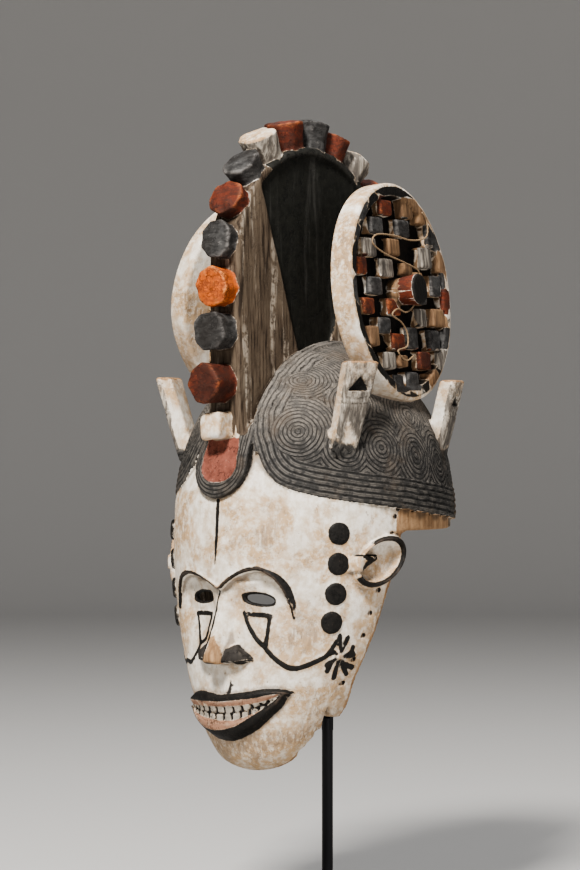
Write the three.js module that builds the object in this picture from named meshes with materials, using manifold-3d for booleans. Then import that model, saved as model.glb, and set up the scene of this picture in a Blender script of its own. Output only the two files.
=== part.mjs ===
// An Igbo maiden spirit mask on its display rod.
// The mask is carved from one block of wood: a narrow face, a domed cap of dressed hair, a tall
// round-topped crest with a row of pegs round its edge, a chequered disc on each side of the crest,
// and four flared tufts. A plant-fibre cord is tied over the disc on the wearer's left, and short
// strands of a finer one show between the front pegs. A steel rod on a square foot carries the mask.
// Units are millimetres, +Z up. The face looks along -Y. The origin is at the centre of the foot's
// underside.

import * as THREE from 'three';
import { mergeVertices } from 'three/addons/utils/BufferGeometryUtils.js';
import Module from 'manifold-3d';

const wasm = await Module();
wasm.setup();

const { degToRad, lerp } = THREE.MathUtils;
const GAP = 0.3;

// Hair cap: an upright half ellipsoid.
const CAP = { centre: new THREE.Vector3(0, 11, 309), radii: new THREE.Vector3(102, 116, 135) };
const SKULL_SCALE = 0.965;
const HOLLOW_WALL = 14;
const RIM_Z = 299.6;
const COLLAR_LOW_Z = 288;

// Face, level by level: height, front, half width, and the y of its rear edge.
const FACE_LEVELS = [
  [118, -66, 12, -59],
  [123, -76, 27, -57],
  [131, -82, 37, -54],
  [146, -89, 50, -45],
  [154, -92, 56, -37],
  [167, -95, 64, -31],
  [185, -97, 71.5, -32],
  [205, -98, 79, -28],
  [222, -100, 84.5, -23],
  [244, -102, 89.5, -18],
  [270, -107, 93, -10],
  [292, -107, 95.5, -5],
  [320, -105, 95.5, -2],
  [340, -99, 91, -1],
];
const FACE_WALL = 12;

// Lower edge of the hair, as angle from the front and height.
const HAIR_EDGE = [
  [0, 368],
  [13, 366],
  [18, 359],
  [21, 346],
  [27, 335],
  [33, 330],
  [45, 324.7],
  [61, 320],
  [79, 316],
  [96, 311.6],
  [126, 306],
  [180, 304],
];
const EDGE_RIDGES = 4;
const RIDGE_PITCH = 5.2;
const RIDGE_RISE = 1.6;

// Coiled hair rosettes on each side: angle from the front, height, radius.
const ROSETTES = [
  [35, 373, 19],
  [55, 361, 13],
  [71, 361, 13],
  [92, 356, 14],
  [109, 350, 13],
  [131, 348, 14],
  [38, 411, 14],
];

// Forehead lappet.
const LAPPET = { half: 24.3, top: 374.3, turn: 347.5, taper: 0.66, rise: 4.5, step: 4.4, rings: 2, bend: 6 };

// Crest and its pegs.
const CREST = { half: 15, y: -9, z: 501, radius: 88, foot: 352 };
const PANEL = { depth: 3.3, margin: 6, tipZ: 392, tipHalf: 5, shoulderZ: 553 };
const PEG = { tip: 15.5, root: 12.5, sides: 8, sunk: 4 };
// Pegs on the straight front and back edges: height and length.
const FRONT_PEGS = [[408.5, 24], [447, 18], [480, 15.5]];
const BACK_PEGS = [[408.5, 20], [447.5, 20], [483, 20]];
// Pegs on the round top: degrees from the front and length.
const ARC_PEGS = [
  [8.5, 11.5], [28.3, 11], [47, 14], [63.3, 20], [80, 21], [96.7, 22], [111.5, 18.5], [128.5, 18.5],
  [146, 19], [165, 19],
];
const BLOCK_PEG = { z: 376, size: 26, reach: 15 };

// Side discs.
const DISC = { x: 65.2, y: 23, z: 478, radius: 83, thick: 18, turn: 11, lean: 6, sides: 26 };
const TRAY = { radius: 73, depth: 11, sides: 16 };
// The chequer's blocks: place across (towards the face) and up, half width and half height.
const BLOCKS = [
  [13, 63.5, 10.5, 6.5], [-25, 64, 10, 7], [31, 49, 10.5, 6.5], [-12, 49, 11, 7],
  [-61, 44, 9.5, 8], [43, 32, 11, 7.5], [3, 34, 10.5, 7], [-48, 28, 10, 8],
  [59, 17.5, 8.5, 7], [18, 17.5, 11, 7], [41, 3, 11, 7], [-63, 7, 10, 8],
  [55, -12.5, 9.5, 6.5], [12.5, -12, 11.5, 6.8], [-31, -19, 8, 7.5], [-60, -18, 10.5, 7.5],
  [31, -26.5, 10.5, 6.5], [-13, -35, 10, 8.8], [-48, -36, 10, 8], [10.5, -38.5, 11, 7],
  [-29, -52, 10, 7], [28, -53, 8.5, 7], [-6, -63, 10, 6.5],
];
const BLOCK_TAPER = 1.2;
const BOSS = { root: 9, tip: 11.5, length: 15.5 };

// Hair tufts. The turn is the angle between a tuft's outer face and the side. Each one has its side (1 for
// the wearer's left), way (-1 at the front), foot and head.
const TUFT = { turn: 21, wide: 26, thick: 14.5, notch: 8 };
const TUFTS = [
  { side: 1, way: -1, foot: [73, -49, 354], head: [92, -49, 424] },
  { side: 1, way: 1, foot: [72, 66, 350], head: [90, 66, 411.5] },
  { side: -1, way: -1, foot: [73, -51, 350], head: [95, -53, 414] },
  { side: -1, way: 1, foot: [72, 66, 350], head: [91, 66, 414] },
];

// Ears.
const EAR = { x: 92.5, y: -28, z: 276, out: 16.5, deep: 22.5, tall: 20.5, wall: 4 };

// Features of the face.
const EYE = { x: 26, z: 249, half: 12, tall: 4.6 };
const SOCKET = { x: 25, y: -112, z: 243, wide: 24, deep: 21, tall: 27 };
const NOSE = {
  rootZ: 262, tipZ: 203, rootY: -95, tipY: -115, baseY: -84, rootHalf: 3.5, tipHalf: 5, wingHalf: 24,
};
const MOUTH = { half: 48, z: 176, drop: 32.7, rise: 2.5, lowerLip: 14, upperLip: 7.3, proud: 5 };
const TEETH = { count: 8, wide: 6, tall: 10, pitch: 7.8, z: 163.4 };
// The wood broken off the rear edge of the jaw on the wearer's left, as y and height, cut from x outwards.
const CHIP = {
  x: 30,
  wide: 60,
  outline: [
    [-20, 160.5], [-42.5, 160.5], [-50, 168.7], [-48.5, 152], [-50.5, 148], [-52, 142], [-55, 133],
    [-60, 110], [-20, 110],
  ],
};
const TEMPLE_DOTS = { z: [298, 276, 254, 233], y: -57, radius: 8.3, rise: 1.6 };

// Display rod and foot.
const FOOT = { size: 180, thick: 12, bevel: 1.5 };
const ROD = { y: 25, radius: 4.25, topZ: 152, strapWide: 9, strapThick: 4, barLength: 46 };

// Cord tied over the disc, as places across (towards the face) and up from the disc's centre.
const DISC_CORD = {
  radius: 0.9,
  clear: 1.4,
  path: [
    [-50, 56], [-46, 44], [-20, 40], [10, 42], [38, 41], [45, 34], [25, 27], [-5, 22], [-28, 16],
    [-19, 4], [-15, -9], [0, -16], [14, -14], [24, -19], [10, -24], [2, -32], [4, -42], [20, -46],
    [8, -53], [-6, -49],
  ],
};
const STRAND = { radius: 0.7, y: -112 };

const WOOD = new THREE.MeshStandardMaterial({ color: '#cfc2ab', roughness: 0.8, metalness: 0 });
const STEEL = new THREE.MeshStandardMaterial({ color: '#17181a', roughness: 0.5, metalness: 0.6 });
const FIBRE = new THREE.MeshStandardMaterial({ color: '#a58562', roughness: 0.9, metalness: 0 });

// A column of a table read at any height or angle, with straight lines between the rows.
function tableAt(rows, key, column) {
  const next = rows.findIndex((row) => row[0] >= key);
  if (next === 0) return rows[0][column];
  if (next < 0) return rows[rows.length - 1][column];
  const [low, high] = [rows[next - 1], rows[next]];
  return lerp(low[column], high[column], (key - low[0]) / (high[0] - low[0]));
}

// A closed geometry as a solid that can be cut and joined.
function solid(geometry) {
  const bare = geometry.clone();
  bare.deleteAttribute('normal');
  bare.deleteAttribute('uv');
  const merged = mergeVertices(bare, 1e-4);
  const vertProperties = new Float32Array(merged.attributes.position.array);
  const triVerts = new Uint32Array(merged.index.array);
  return new wasm.Manifold(new wasm.Mesh({ numProp: 3, vertProperties, triVerts }));
}

// A named mesh from a solid.
function piece(name, body, material) {
  const { vertProperties, triVerts } = body.getMesh();
  const geometry = new THREE.BufferGeometry();
  geometry.setAttribute('position', new THREE.BufferAttribute(new Float32Array(vertProperties), 3));
  geometry.setIndex(new THREE.BufferAttribute(new Uint32Array(triVerts), 1));
  geometry.computeVertexNormals();
  const mesh = new THREE.Mesh(geometry, material);
  mesh.name = name;
  return mesh;
}

// A closed body through rings of points that run anticlockwise seen from the last ring.
function loft(rings) {
  const count = rings[0].length;
  const points = rings.flat();
  const last = (rings.length - 1) * count;
  const index = [];
  for (let j = 0; j < count; j += 1) {
    const k = (j + 1) % count;
    for (let i = 0; i < last; i += count) {
      index.push(i + j, i + k, i + count + k, i + j, i + count + k, i + count + j);
    }
    if (count > 4) index.push(points.length, k, j, points.length + 1, last + j, last + k);
  }
  if (count > 4) {
    const centre = (ring) => ring.reduce((sum, p) => sum.add(p), new THREE.Vector3()).divideScalar(count);
    points.push(centre(rings[0]), centre(rings.at(-1)));
  } else {
    index.push(0, 2, 1, 0, 3, 2, last, last + 1, last + 2, last, last + 2, last + 3);
  }
  const geometry = new THREE.BufferGeometry().setFromPoints(points);
  geometry.setIndex(index);
  return geometry;
}

function ellipsoid(centre, radii, around = 24, up = 14) {
  const geometry = new THREE.SphereGeometry(1, around, up);
  geometry.rotateX(Math.PI / 2);
  geometry.scale(radii.x, radii.y, radii.z);
  geometry.translate(centre.x, centre.y, centre.z);
  return solid(geometry);
}

function block(low, high) {
  const size = new THREE.Vector3().subVectors(high, low);
  const geometry = new THREE.BoxGeometry(size.x, size.y, size.z);
  geometry.translate((low.x + high.x) / 2, (low.y + high.y) / 2, (low.z + high.z) / 2);
  return solid(geometry);
}

// A point of the cap's surface at an angle from the front and a height, on a cap scaled by k.
function onCap(degrees, z, k = 1) {
  const angle = degToRad(degrees);
  const ring = Math.sqrt(Math.max(0, 1 - ((z - CAP.centre.z) / (CAP.radii.z * k)) ** 2));
  const x = Math.sin(angle) * CAP.radii.x * k * ring;
  return new THREE.Vector3(x, CAP.centre.y - Math.cos(angle) * CAP.radii.y * k * ring, z);
}

function capNormal(point) {
  const out = new THREE.Vector3().subVectors(point, CAP.centre);
  return out.divide(CAP.radii).divide(CAP.radii).normalize();
}

// The y of the face's surface at a place across and a height.
function faceY(x, z) {
  const [front, half, back] = [1, 2, 3].map((column) => tableAt(FACE_LEVELS, z, column));
  return back - (back - front) * Math.sqrt(Math.max(0, 1 - (x / half) ** 2));
}

// The face as a solid half column, thinner all round by an inset, its rear edge moved back by an overrun.
function faceColumn(inset, overrun, levels, steps) {
  const rings = levels.map(([z, front, half, back]) => {
    const ring = [];
    for (let i = 0; i <= steps; i += 1) {
      const angle = (Math.PI * i) / steps;
      const x = -Math.cos(angle) * Math.max(half - inset, 1);
      ring.push(new THREE.Vector3(x, back - Math.sin(angle) * Math.max(back - front - inset, 1), z));
    }
    if (overrun > 0) {
      const [left, right] = [ring[0].x, ring.at(-1).x];
      ring.push(new THREE.Vector3(right, back + overrun, z), new THREE.Vector3(left, back + overrun, z));
    }
    return ring;
  });
  return solid(loft(rings));
}

// The hair: a cap whose wavy lower edge carries parallel ridges.
function hairCap() {
  const columns = 30;
  const ridgeRows = EDGE_RIDGES * 2;
  const rows = ridgeRows + 5;
  const top = CAP.centre.z + CAP.radii.z - 1;
  const rings = [];
  for (let row = -1; row <= rows; row += 1) {
    const ring = [];
    for (let column = 0; column < columns; column += 1) {
      const degrees = (360 * column) / columns - 180;
      const edge = tableAt(HAIR_EDGE, Math.abs(degrees), 1);
      const ridgeTop = edge + ridgeRows * 0.5 * RIDGE_PITCH * 0.92;
      const high = Math.max(row - ridgeRows, 0) / (rows - ridgeRows);
      const z = row <= ridgeRows
        ? lerp(edge, ridgeTop, Math.max(row, 0) / ridgeRows)
        : lerp(ridgeTop, top, Math.sin((high * Math.PI) / 2));
      const point = onCap(degrees, z, row < 0 ? SKULL_SCALE - 0.03 : 1);
      if (row >= 0 && row <= ridgeRows && row % 2 === 0) point.addScaledVector(capNormal(point), -RIDGE_RISE);
      ring.push(point);
    }
    rings.push(ring);
  }
  return solid(loft(rings));
}

// A rosette of coiled hair: raised rings round a centre, set on the cap.
function rosette(degrees, z, radius) {
  const at = onCap(degrees, z);
  const ring = (share, rise) => new THREE.Vector2(radius * share, rise);
  const profile = [ring(0, -5), ring(1, -5), ring(0.88, 2.4), ring(0.56, 0.2), ring(0.4, 2.6), ring(0, 2.6)];
  const geometry = new THREE.LatheGeometry(profile, 6);
  const turn = new THREE.Quaternion().setFromUnitVectors(new THREE.Vector3(0, 1, 0), capNormal(at));
  geometry.applyQuaternion(turn);
  geometry.translate(at.x, at.y, at.z);
  return solid(geometry);
}

// The forehead lappet: nested ridges round a tongue, set on the front of the cap.
function lappet() {
  const outline = (inset, rise) => {
    const half = LAPPET.half - inset;
    const top = LAPPET.top - inset * 0.4;
    const neck = half * LAPPET.taper;
    const flat = [[-neck, top], [-lerp(neck, half, 0.6), lerp(top, LAPPET.turn, 0.5)]];
    for (let i = 0; i <= LAPPET.bend; i += 1) {
      const angle = Math.PI * (1 + i / LAPPET.bend);
      flat.push([Math.cos(angle) * half, LAPPET.turn + Math.sin(angle) * half]);
    }
    flat.push([lerp(neck, half, 0.6), lerp(top, LAPPET.turn, 0.5)], [neck, top]);
    return flat.map(([x, z]) => {
      const ring = 1 - ((z - CAP.centre.z) / CAP.radii.z) ** 2 - (x / CAP.radii.x) ** 2;
      return new THREE.Vector3(x, CAP.centre.y - CAP.radii.y * Math.sqrt(ring) - rise, z);
    });
  };
  const rings = [outline(0, -5)];
  for (let ridge = 0; ridge < LAPPET.rings; ridge += 1) {
    const inset = ridge * LAPPET.step;
    rings.push(outline(inset, LAPPET.rise), outline(inset + LAPPET.step * 0.6, LAPPET.rise));
    rings.push(outline(inset + LAPPET.step * 0.8, LAPPET.rise - 1.6));
  }
  rings.push(outline(LAPPET.rings * LAPPET.step, LAPPET.rise - 0.6));
  return solid(loft(rings));
}

// A profile drawn in the plane of the crest, with shape x along +Y, given a thickness across X.
function uprightPlate(shape, half, segments) {
  const options = { depth: 2 * half, bevelEnabled: false, curveSegments: segments };
  const geometry = new THREE.ExtrudeGeometry(shape, options);
  geometry.applyMatrix4(new THREE.Matrix4().makeBasis(
    new THREE.Vector3(0, 1, 0), new THREE.Vector3(0, 0, 1), new THREE.Vector3(1, 0, 0),
  ));
  geometry.translate(-half, CREST.y, 0);
  return solid(geometry);
}

function crest() {
  const outline = new THREE.Shape();
  outline.moveTo(-CREST.radius, CREST.foot);
  outline.lineTo(-CREST.radius, CREST.z);
  outline.absarc(0, CREST.z, CREST.radius, Math.PI, 0, true);
  outline.lineTo(CREST.radius, CREST.foot);
  outline.closePath();
  let body = uprightPlate(outline, CREST.half, 12);

  const panelRadius = CREST.radius - PANEL.margin;
  const shoulder = Math.asin((PANEL.shoulderZ - CREST.z) / panelRadius);
  const panel = new THREE.Shape();
  panel.moveTo(PANEL.tipHalf, PANEL.tipZ);
  panel.lineTo(-PANEL.tipHalf, PANEL.tipZ);
  panel.absarc(0, CREST.z, panelRadius, Math.PI - shoulder, shoulder, true);
  panel.closePath();
  for (const side of [-1, 1]) {
    const cut = uprightPlate(panel, PANEL.depth, 12).translate([side * CREST.half, 0, 0]);
    body = body.subtract(cut);
  }
  return body;
}

// A peg that widens towards its outer end, pointing along a direction in the plane of the crest.
function peg(y, z, degrees, length) {
  const long = length + PEG.sunk;
  const geometry = new THREE.CylinderGeometry(PEG.tip, PEG.root, long, PEG.sides);
  geometry.rotateY(Math.PI / PEG.sides);
  geometry.translate(0, long / 2 - PEG.sunk, 0);
  geometry.rotateX(Math.PI - degToRad(degrees));
  geometry.translate(0, y, z);
  return solid(geometry);
}

function pegs() {
  const all = [];
  for (const [z, length] of FRONT_PEGS) all.push(peg(CREST.y - CREST.radius, z, 0, length));
  for (const [z, length] of BACK_PEGS) all.push(peg(CREST.y + CREST.radius, z, 180, length));
  for (const [degrees, length] of ARC_PEGS) {
    const angle = degToRad(degrees);
    const [y, z] = [CREST.y - Math.cos(angle) * CREST.radius, CREST.z + Math.sin(angle) * CREST.radius];
    all.push(peg(y, z, degrees, length));
  }
  const front = CREST.y - CREST.radius;
  const half = BLOCK_PEG.size / 2;
  all.push(block(
    new THREE.Vector3(-half, front - BLOCK_PEG.reach, BLOCK_PEG.z - half * 0.8),
    new THREE.Vector3(half, front + 20, BLOCK_PEG.z + half * 0.8),
  ));
  return all;
}

// Puts geometry made round the origin, with its outer face along +Y, where a side disc stands.
function placeOnDisc(geometry) {
  geometry.rotateX(degToRad(DISC.lean));
  geometry.rotateZ(-Math.PI / 2 + degToRad(DISC.turn));
  geometry.translate(DISC.x, DISC.y, DISC.z);
  return geometry;
}

// The wearer's left disc: a rim round a tray of chequer blocks with a boss in the middle.
function sideDisc() {
  const outer = DISC.thick / 2;
  const cylinder = (radius, from, to, sides) => {
    const geometry = new THREE.CylinderGeometry(radius, radius, to - from, sides);
    geometry.translate(0, (from + to) / 2, 0);
    return solid(placeOnDisc(geometry));
  };
  let body = cylinder(DISC.radius, -outer, outer, DISC.sides);
  body = body.subtract(cylinder(TRAY.radius, outer - TRAY.depth, outer + 1, TRAY.sides));
  for (const [across, up, half, tall] of BLOCKS) {
    const ring = (y, taper) => [[-1, -1], [-1, 1], [1, 1], [1, -1]].map(([a, b]) => new THREE.Vector3(
      across + a * (half - taper), y, up + b * (tall - taper),
    ));
    const geometry = loft([ring(outer - TRAY.depth - 1, 0), ring(outer, BLOCK_TAPER)]);
    body = body.add(solid(placeOnDisc(geometry)));
  }
  const boss = new THREE.CylinderGeometry(BOSS.tip, BOSS.root, BOSS.length + TRAY.depth + 1, 8);
  boss.translate(0, outer - TRAY.depth - 1 + (BOSS.length + TRAY.depth + 1) / 2, 0);
  return body.add(solid(placeOnDisc(boss)));
}

// A flared hair tuft on the wearer's left, at the front (way -1) or the back (way 1).
function tuft({ way, foot, head }) {
  const out = new THREE.Vector3(Math.cos(degToRad(TUFT.turn)), way * Math.sin(degToRad(TUFT.turn)), 0);
  const along = new THREE.Vector3(-out.y, out.x, 0);
  const [low, high] = [new THREE.Vector3(...foot), new THREE.Vector3(...head)];
  const section = (share, wide, thick) => {
    const centre = low.clone().lerp(high, share);
    const corner = (a, b) => centre.clone().addScaledVector(out, a * thick).addScaledVector(along, b * wide);
    return [corner(-0.5, -0.5), corner(0.5, -0.5), corner(0.5, 0.5), corner(-0.5, 0.5)];
  };
  const body = solid(loft([
    section(0, TUFT.wide * 0.72, TUFT.thick * 0.95),
    section(0.5, TUFT.wide * 0.84, TUFT.thick),
    section(1, TUFT.wide, TUFT.thick * 0.92),
  ]));
  // A triangle is sunk in the upper part of the outer face.
  const notch = new THREE.CylinderGeometry(TUFT.notch, TUFT.notch, 5, 3);
  notch.rotateX(Math.PI / 2);
  notch.applyMatrix4(new THREE.Matrix4().makeBasis(along, new THREE.Vector3(0, 0, 1), out.clone()));
  const at = low.clone().lerp(high, 0.8).addScaledVector(out, TUFT.thick / 2);
  notch.translate(at.x, at.y, at.z);
  return body.subtract(solid(notch));
}

// The wearer's left ear: a scooped bowl.
function ear() {
  const centre = new THREE.Vector3(EAR.x, EAR.y, EAR.z);
  const bowl = ellipsoid(centre, new THREE.Vector3(EAR.out, EAR.deep, EAR.tall), 10, 8);
  const scoopCentre = centre.clone().add(new THREE.Vector3(EAR.wall + 5, -EAR.wall, 0));
  const scoopRadii = new THREE.Vector3(EAR.out, EAR.deep - EAR.wall, EAR.tall - EAR.wall);
  const scoop = ellipsoid(scoopCentre, scoopRadii, 10, 6);
  return bowl.subtract(scoop);
}

function nose() {
  const section = (z, tipY, tipHalf, baseHalf, baseY) => [
    new THREE.Vector3(-baseHalf, baseY, z),
    new THREE.Vector3(-tipHalf, tipY, z),
    new THREE.Vector3(tipHalf, tipY, z),
    new THREE.Vector3(baseHalf, baseY, z),
  ];
  const { rootZ, tipZ, rootY, tipY, baseY, rootHalf, tipHalf, wingHalf } = NOSE;
  return solid(loft([
    section(tipZ - 4, tipY + 6, tipHalf * 0.7, wingHalf * 0.9, baseY),
    section(tipZ, tipY, tipHalf, wingHalf, baseY),
    section(tipZ + 14, tipY + 2.5, tipHalf * 0.8, wingHalf * 0.62, baseY),
    section(lerp(tipZ, rootZ, 0.6), lerp(tipY, rootY, 0.55), rootHalf, rootHalf + 5, baseY - 2),
    section(rootZ, rootY - 3, rootHalf, rootHalf + 4, baseY - 4),
  ]));
}

// A crescent laid on the face, smaller than the lips by an inset below and above, from sunk to risen.
function crescent(below, above, rise, sunk) {
  const rings = [];
  const half = MOUTH.half - above;
  const stations = 8;
  for (let i = 0; i <= stations; i += 1) {
    const share = Math.sin((i / stations - 0.5) * Math.PI);
    const x = share * half;
    const full = Math.sqrt(Math.max(0.02, 1 - Math.abs(share) ** 2.3));
    const [low, high] = [MOUTH.z - (MOUTH.drop - below) * full, MOUTH.z + (MOUTH.rise - above) * full];
    const corner = (z, out) => new THREE.Vector3(x, faceY(x, z) - out, z);
    const middle = (low + high) / 2;
    rings.push([
      corner(middle, -sunk), corner(high, -sunk), corner(high, rise), corner(middle, rise), corner(low, rise),
      corner(low, -sunk),
    ]);
  }
  return solid(loft(rings));
}

function addMouth(head) {
  let body = head.add(crescent(0, 0, MOUTH.proud, 4));
  body = body.subtract(crescent(MOUTH.lowerLip, MOUTH.upperLip, MOUTH.proud + 4, 3));
  for (let i = 0; i < TEETH.count; i += 1) {
    const x = (i - (TEETH.count - 1) / 2) * TEETH.pitch;
    const y = faceY(x, TEETH.z);
    const low = new THREE.Vector3(x - TEETH.wide / 2, y - 2, TEETH.z - TEETH.tall / 2);
    body = body.add(block(low, new THREE.Vector3(x + TEETH.wide / 2, y + 6, TEETH.z + TEETH.tall)));
  }
  return body;
}

// Joins a piece of the wearer's left side and its mirror image to a body.
function addBothSides(body, part) {
  return body.add(part).add(part.mirror([1, 0, 0]));
}

function carvedMask() {
  const { centre, radii } = CAP;
  const above = block(new THREE.Vector3(-200, -200, RIM_Z), new THREE.Vector3(200, 200, 600));
  const skull = ellipsoid(centre, radii.clone().multiplyScalar(SKULL_SCALE), 22, 10).intersect(above);
  let body = skull.add(hairCap()).add(faceColumn(0, 0, FACE_LEVELS, 14));
  body = body.add(lappet());

  for (const side of [-1, 1]) {
    const at = new THREE.Vector3(side * SOCKET.x, SOCKET.y, SOCKET.z);
    body = body.subtract(ellipsoid(at, new THREE.Vector3(SOCKET.wide, SOCKET.deep, SOCKET.tall), 14, 10));
  }
  body = addMouth(body.add(nose()));
  body = addBothSides(body, ear());

  for (const z of TEMPLE_DOTS.z) {
    const half = tableAt(FACE_LEVELS, z, 2);
    const [front, back] = [tableAt(FACE_LEVELS, z, 1), tableAt(FACE_LEVELS, z, 3)];
    const across = (back - TEMPLE_DOTS.y) / (back - front);
    const x = half * Math.sqrt(1 - across ** 2);
    const dot = new THREE.CylinderGeometry(TEMPLE_DOTS.radius, TEMPLE_DOTS.radius, 6, 8);
    const out = new THREE.Vector3(x / half ** 2, (TEMPLE_DOTS.y - back) / (back - front) ** 2, 0).normalize();
    dot.applyQuaternion(new THREE.Quaternion().setFromUnitVectors(new THREE.Vector3(0, 1, 0), out));
    const at = new THREE.Vector3(x, TEMPLE_DOTS.y, z).addScaledVector(out, TEMPLE_DOTS.rise - 3);
    dot.translate(at.x, at.y, at.z);
    body = addBothSides(body, solid(dot));
  }
  for (const [degrees, z, radius] of ROSETTES) body = addBothSides(body, rosette(degrees, z, radius));
  body = addBothSides(body, sideDisc());
  for (const plan of TUFTS) body = body.add(plan.side > 0 ? tuft(plan) : tuft(plan).mirror([1, 0, 0]));
  body = body.add(crest());
  for (const part of pegs()) body = body.add(part);

  // The hollow for the wearer's head, open below and behind.
  const wall = new THREE.Vector3(HOLLOW_WALL, HOLLOW_WALL, HOLLOW_WALL + 2);
  const dome = ellipsoid(centre, radii.clone().sub(wall), 22, 10);
  const collar = centre.z - COLLAR_LOW_Z;
  const lower = new THREE.CylinderGeometry(1, 1, collar, 22).rotateX(Math.PI / 2);
  lower.scale(radii.x - HOLLOW_WALL, radii.y - HOLLOW_WALL, 1).translate(0, centre.y, centre.z - collar / 2);
  const front = block(new THREE.Vector3(-200, -200, 0), new THREE.Vector3(200, -30, centre.z));
  body = body.subtract(dome).subtract(solid(lower).subtract(front));
  const inner = FACE_LEVELS.map(([z, ...rest]) => [z, ...rest]);
  inner[0][0] -= 20;
  inner[1][0] += 3;
  body = body.subtract(faceColumn(FACE_WALL, 80, inner, 10));

  const chip = new THREE.Shape(CHIP.outline.map(([y, z]) => new THREE.Vector2(y - CREST.y, z)));
  body = body.subtract(uprightPlate(chip, CHIP.wide / 2, 1).translate([CHIP.x + CHIP.wide / 2, 0, 0]));

  for (const side of [-1, 1]) {
    const slit = new THREE.CylinderGeometry(1, 1, 60, 10);
    slit.scale(EYE.half, 1, EYE.tall);
    slit.translate(side * EYE.x, -90, EYE.z);
    body = body.subtract(solid(slit));
  }
  return body;
}

function displayRod() {
  const round = new THREE.CylinderGeometry(ROD.radius, ROD.radius, ROD.topZ - FOOT.thick - GAP, 16);
  round.rotateX(Math.PI / 2);
  round.translate(0, ROD.y, (ROD.topZ + FOOT.thick + GAP) / 2);
  const capTop = (y) => {
    const deep = CAP.radii.y - HOLLOW_WALL;
    const high = CAP.radii.z - HOLLOW_WALL - 2;
    return CAP.centre.z + high * Math.sqrt(1 - ((y - CAP.centre.y) / deep) ** 2);
  };
  const barTop = capTop(ROD.y + ROD.barLength / 2) - 1.5;
  const halfWide = ROD.strapWide / 2;
  const halfThick = ROD.strapThick / 2;
  const strap = block(
    new THREE.Vector3(-halfWide, ROD.y - halfThick, ROD.topZ - 10),
    new THREE.Vector3(halfWide, ROD.y + halfThick, barTop - 1),
  );
  const bar = block(
    new THREE.Vector3(-halfWide, ROD.y - ROD.barLength / 2, barTop - ROD.strapThick),
    new THREE.Vector3(halfWide, ROD.y + ROD.barLength / 2, barTop),
  );
  return solid(round).add(strap).add(bar);
}

function displayFoot() {
  const half = FOOT.size / 2;
  const ring = (inset, z) => [[-1, -1], [1, -1], [1, 1], [-1, 1]]
    .map(([a, b]) => new THREE.Vector3(a * (half - inset), b * (half - inset), z));
  return solid(loft([ring(0, 0), ring(0, FOOT.thick - FOOT.bevel), ring(FOOT.bevel, FOOT.thick)]));
}

// The cord over the wearer's left disc, lying just clear of its blocks.
function discCord() {
  const height = DISC.thick / 2 + DISC_CORD.clear;
  const path = DISC_CORD.path.map(([across, up]) => new THREE.Vector3(across, height, up));
  const out = new THREE.Vector3(0, 1, 0);
  const rings = path.map((point, i) => {
    const along = path[Math.min(i + 1, path.length - 1)].clone().sub(path[Math.max(i - 1, 0)]).normalize();
    const side = new THREE.Vector3().crossVectors(along, out);
    return [[-1, -1], [1, -1], [1, 1], [-1, 1]].map(([a, b]) => point.clone()
      .addScaledVector(out, a * DISC_CORD.radius * Math.SQRT1_2)
      .addScaledVector(side, b * DISC_CORD.radius * Math.SQRT1_2));
  });
  return solid(placeOnDisc(loft(rings)));
}

// A short strand between two neighbouring front pegs.
function strand(lowZ, highZ) {
  const low = lowZ + PEG.tip + GAP;
  const high = highZ - PEG.tip - GAP;
  const geometry = new THREE.CylinderGeometry(STRAND.radius, STRAND.radius, high - low, 6);
  return solid(geometry.rotateX(Math.PI / 2).translate(0, STRAND.y, (low + high) / 2));
}

const model = new THREE.Group();
model.add(
  piece('carved_mask', carvedMask(), WOOD),
  piece('disc_cord', discCord(), FIBRE),
  piece('peg_strand_low', strand(FRONT_PEGS[0][0], FRONT_PEGS[1][0]), FIBRE),
  piece('peg_strand_high', strand(FRONT_PEGS[1][0], FRONT_PEGS[2][0]), FIBRE),
  piece('display_rod', displayRod(), STEEL),
  piece('display_foot', displayFoot(), STEEL),
);

export default model;
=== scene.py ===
"""A carved and painted maiden spirit mask on its display rod, ready to render.

The mask is carved from a block of wood held as signed distances on a regular grid, in millimetres. Each part of the
carving is a shape that is added to the block or cut from it. The surface is then meshed, thinned and given the paint
distances that its finish reads. The cords, the rod and the foot are made one by one.
"""

from __future__ import annotations

import logging
import math
from dataclasses import dataclass, field
from enum import Enum
from itertools import product
from typing import Protocol, Sequence

import bpy
import numpy as np
import openvdb
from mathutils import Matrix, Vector

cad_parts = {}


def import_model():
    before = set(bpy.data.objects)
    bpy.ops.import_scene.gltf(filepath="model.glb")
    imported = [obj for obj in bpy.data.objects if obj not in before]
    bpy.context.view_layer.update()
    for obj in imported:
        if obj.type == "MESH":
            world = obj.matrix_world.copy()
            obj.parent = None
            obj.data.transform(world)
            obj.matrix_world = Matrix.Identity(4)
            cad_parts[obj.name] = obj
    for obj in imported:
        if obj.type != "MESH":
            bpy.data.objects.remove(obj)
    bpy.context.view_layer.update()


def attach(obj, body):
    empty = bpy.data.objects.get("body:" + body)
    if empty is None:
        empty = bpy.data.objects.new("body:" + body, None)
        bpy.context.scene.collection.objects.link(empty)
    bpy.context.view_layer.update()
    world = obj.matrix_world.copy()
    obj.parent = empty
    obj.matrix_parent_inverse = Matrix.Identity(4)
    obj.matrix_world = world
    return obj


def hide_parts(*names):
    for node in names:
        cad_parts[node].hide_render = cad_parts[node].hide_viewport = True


LOG = logging.getLogger("mask")
MM = 0.001
FAR = 30.0
HAIR_LOW, HAIR_HIGH = 0.352, 0.400  # metres up between which the hair goes from its edge's look to its dome's
SOLID_PEG_TIP = 15.5  # millimetres, radius at the tip of the solid's front pegs, between which a strand shows
STRAND_CLEAR = 0.2  # millimetres from that edge to a strand's end
CORD_CLEAR = 1.4  # millimetres from the disc's outer face to the middle of the cord over it
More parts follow.
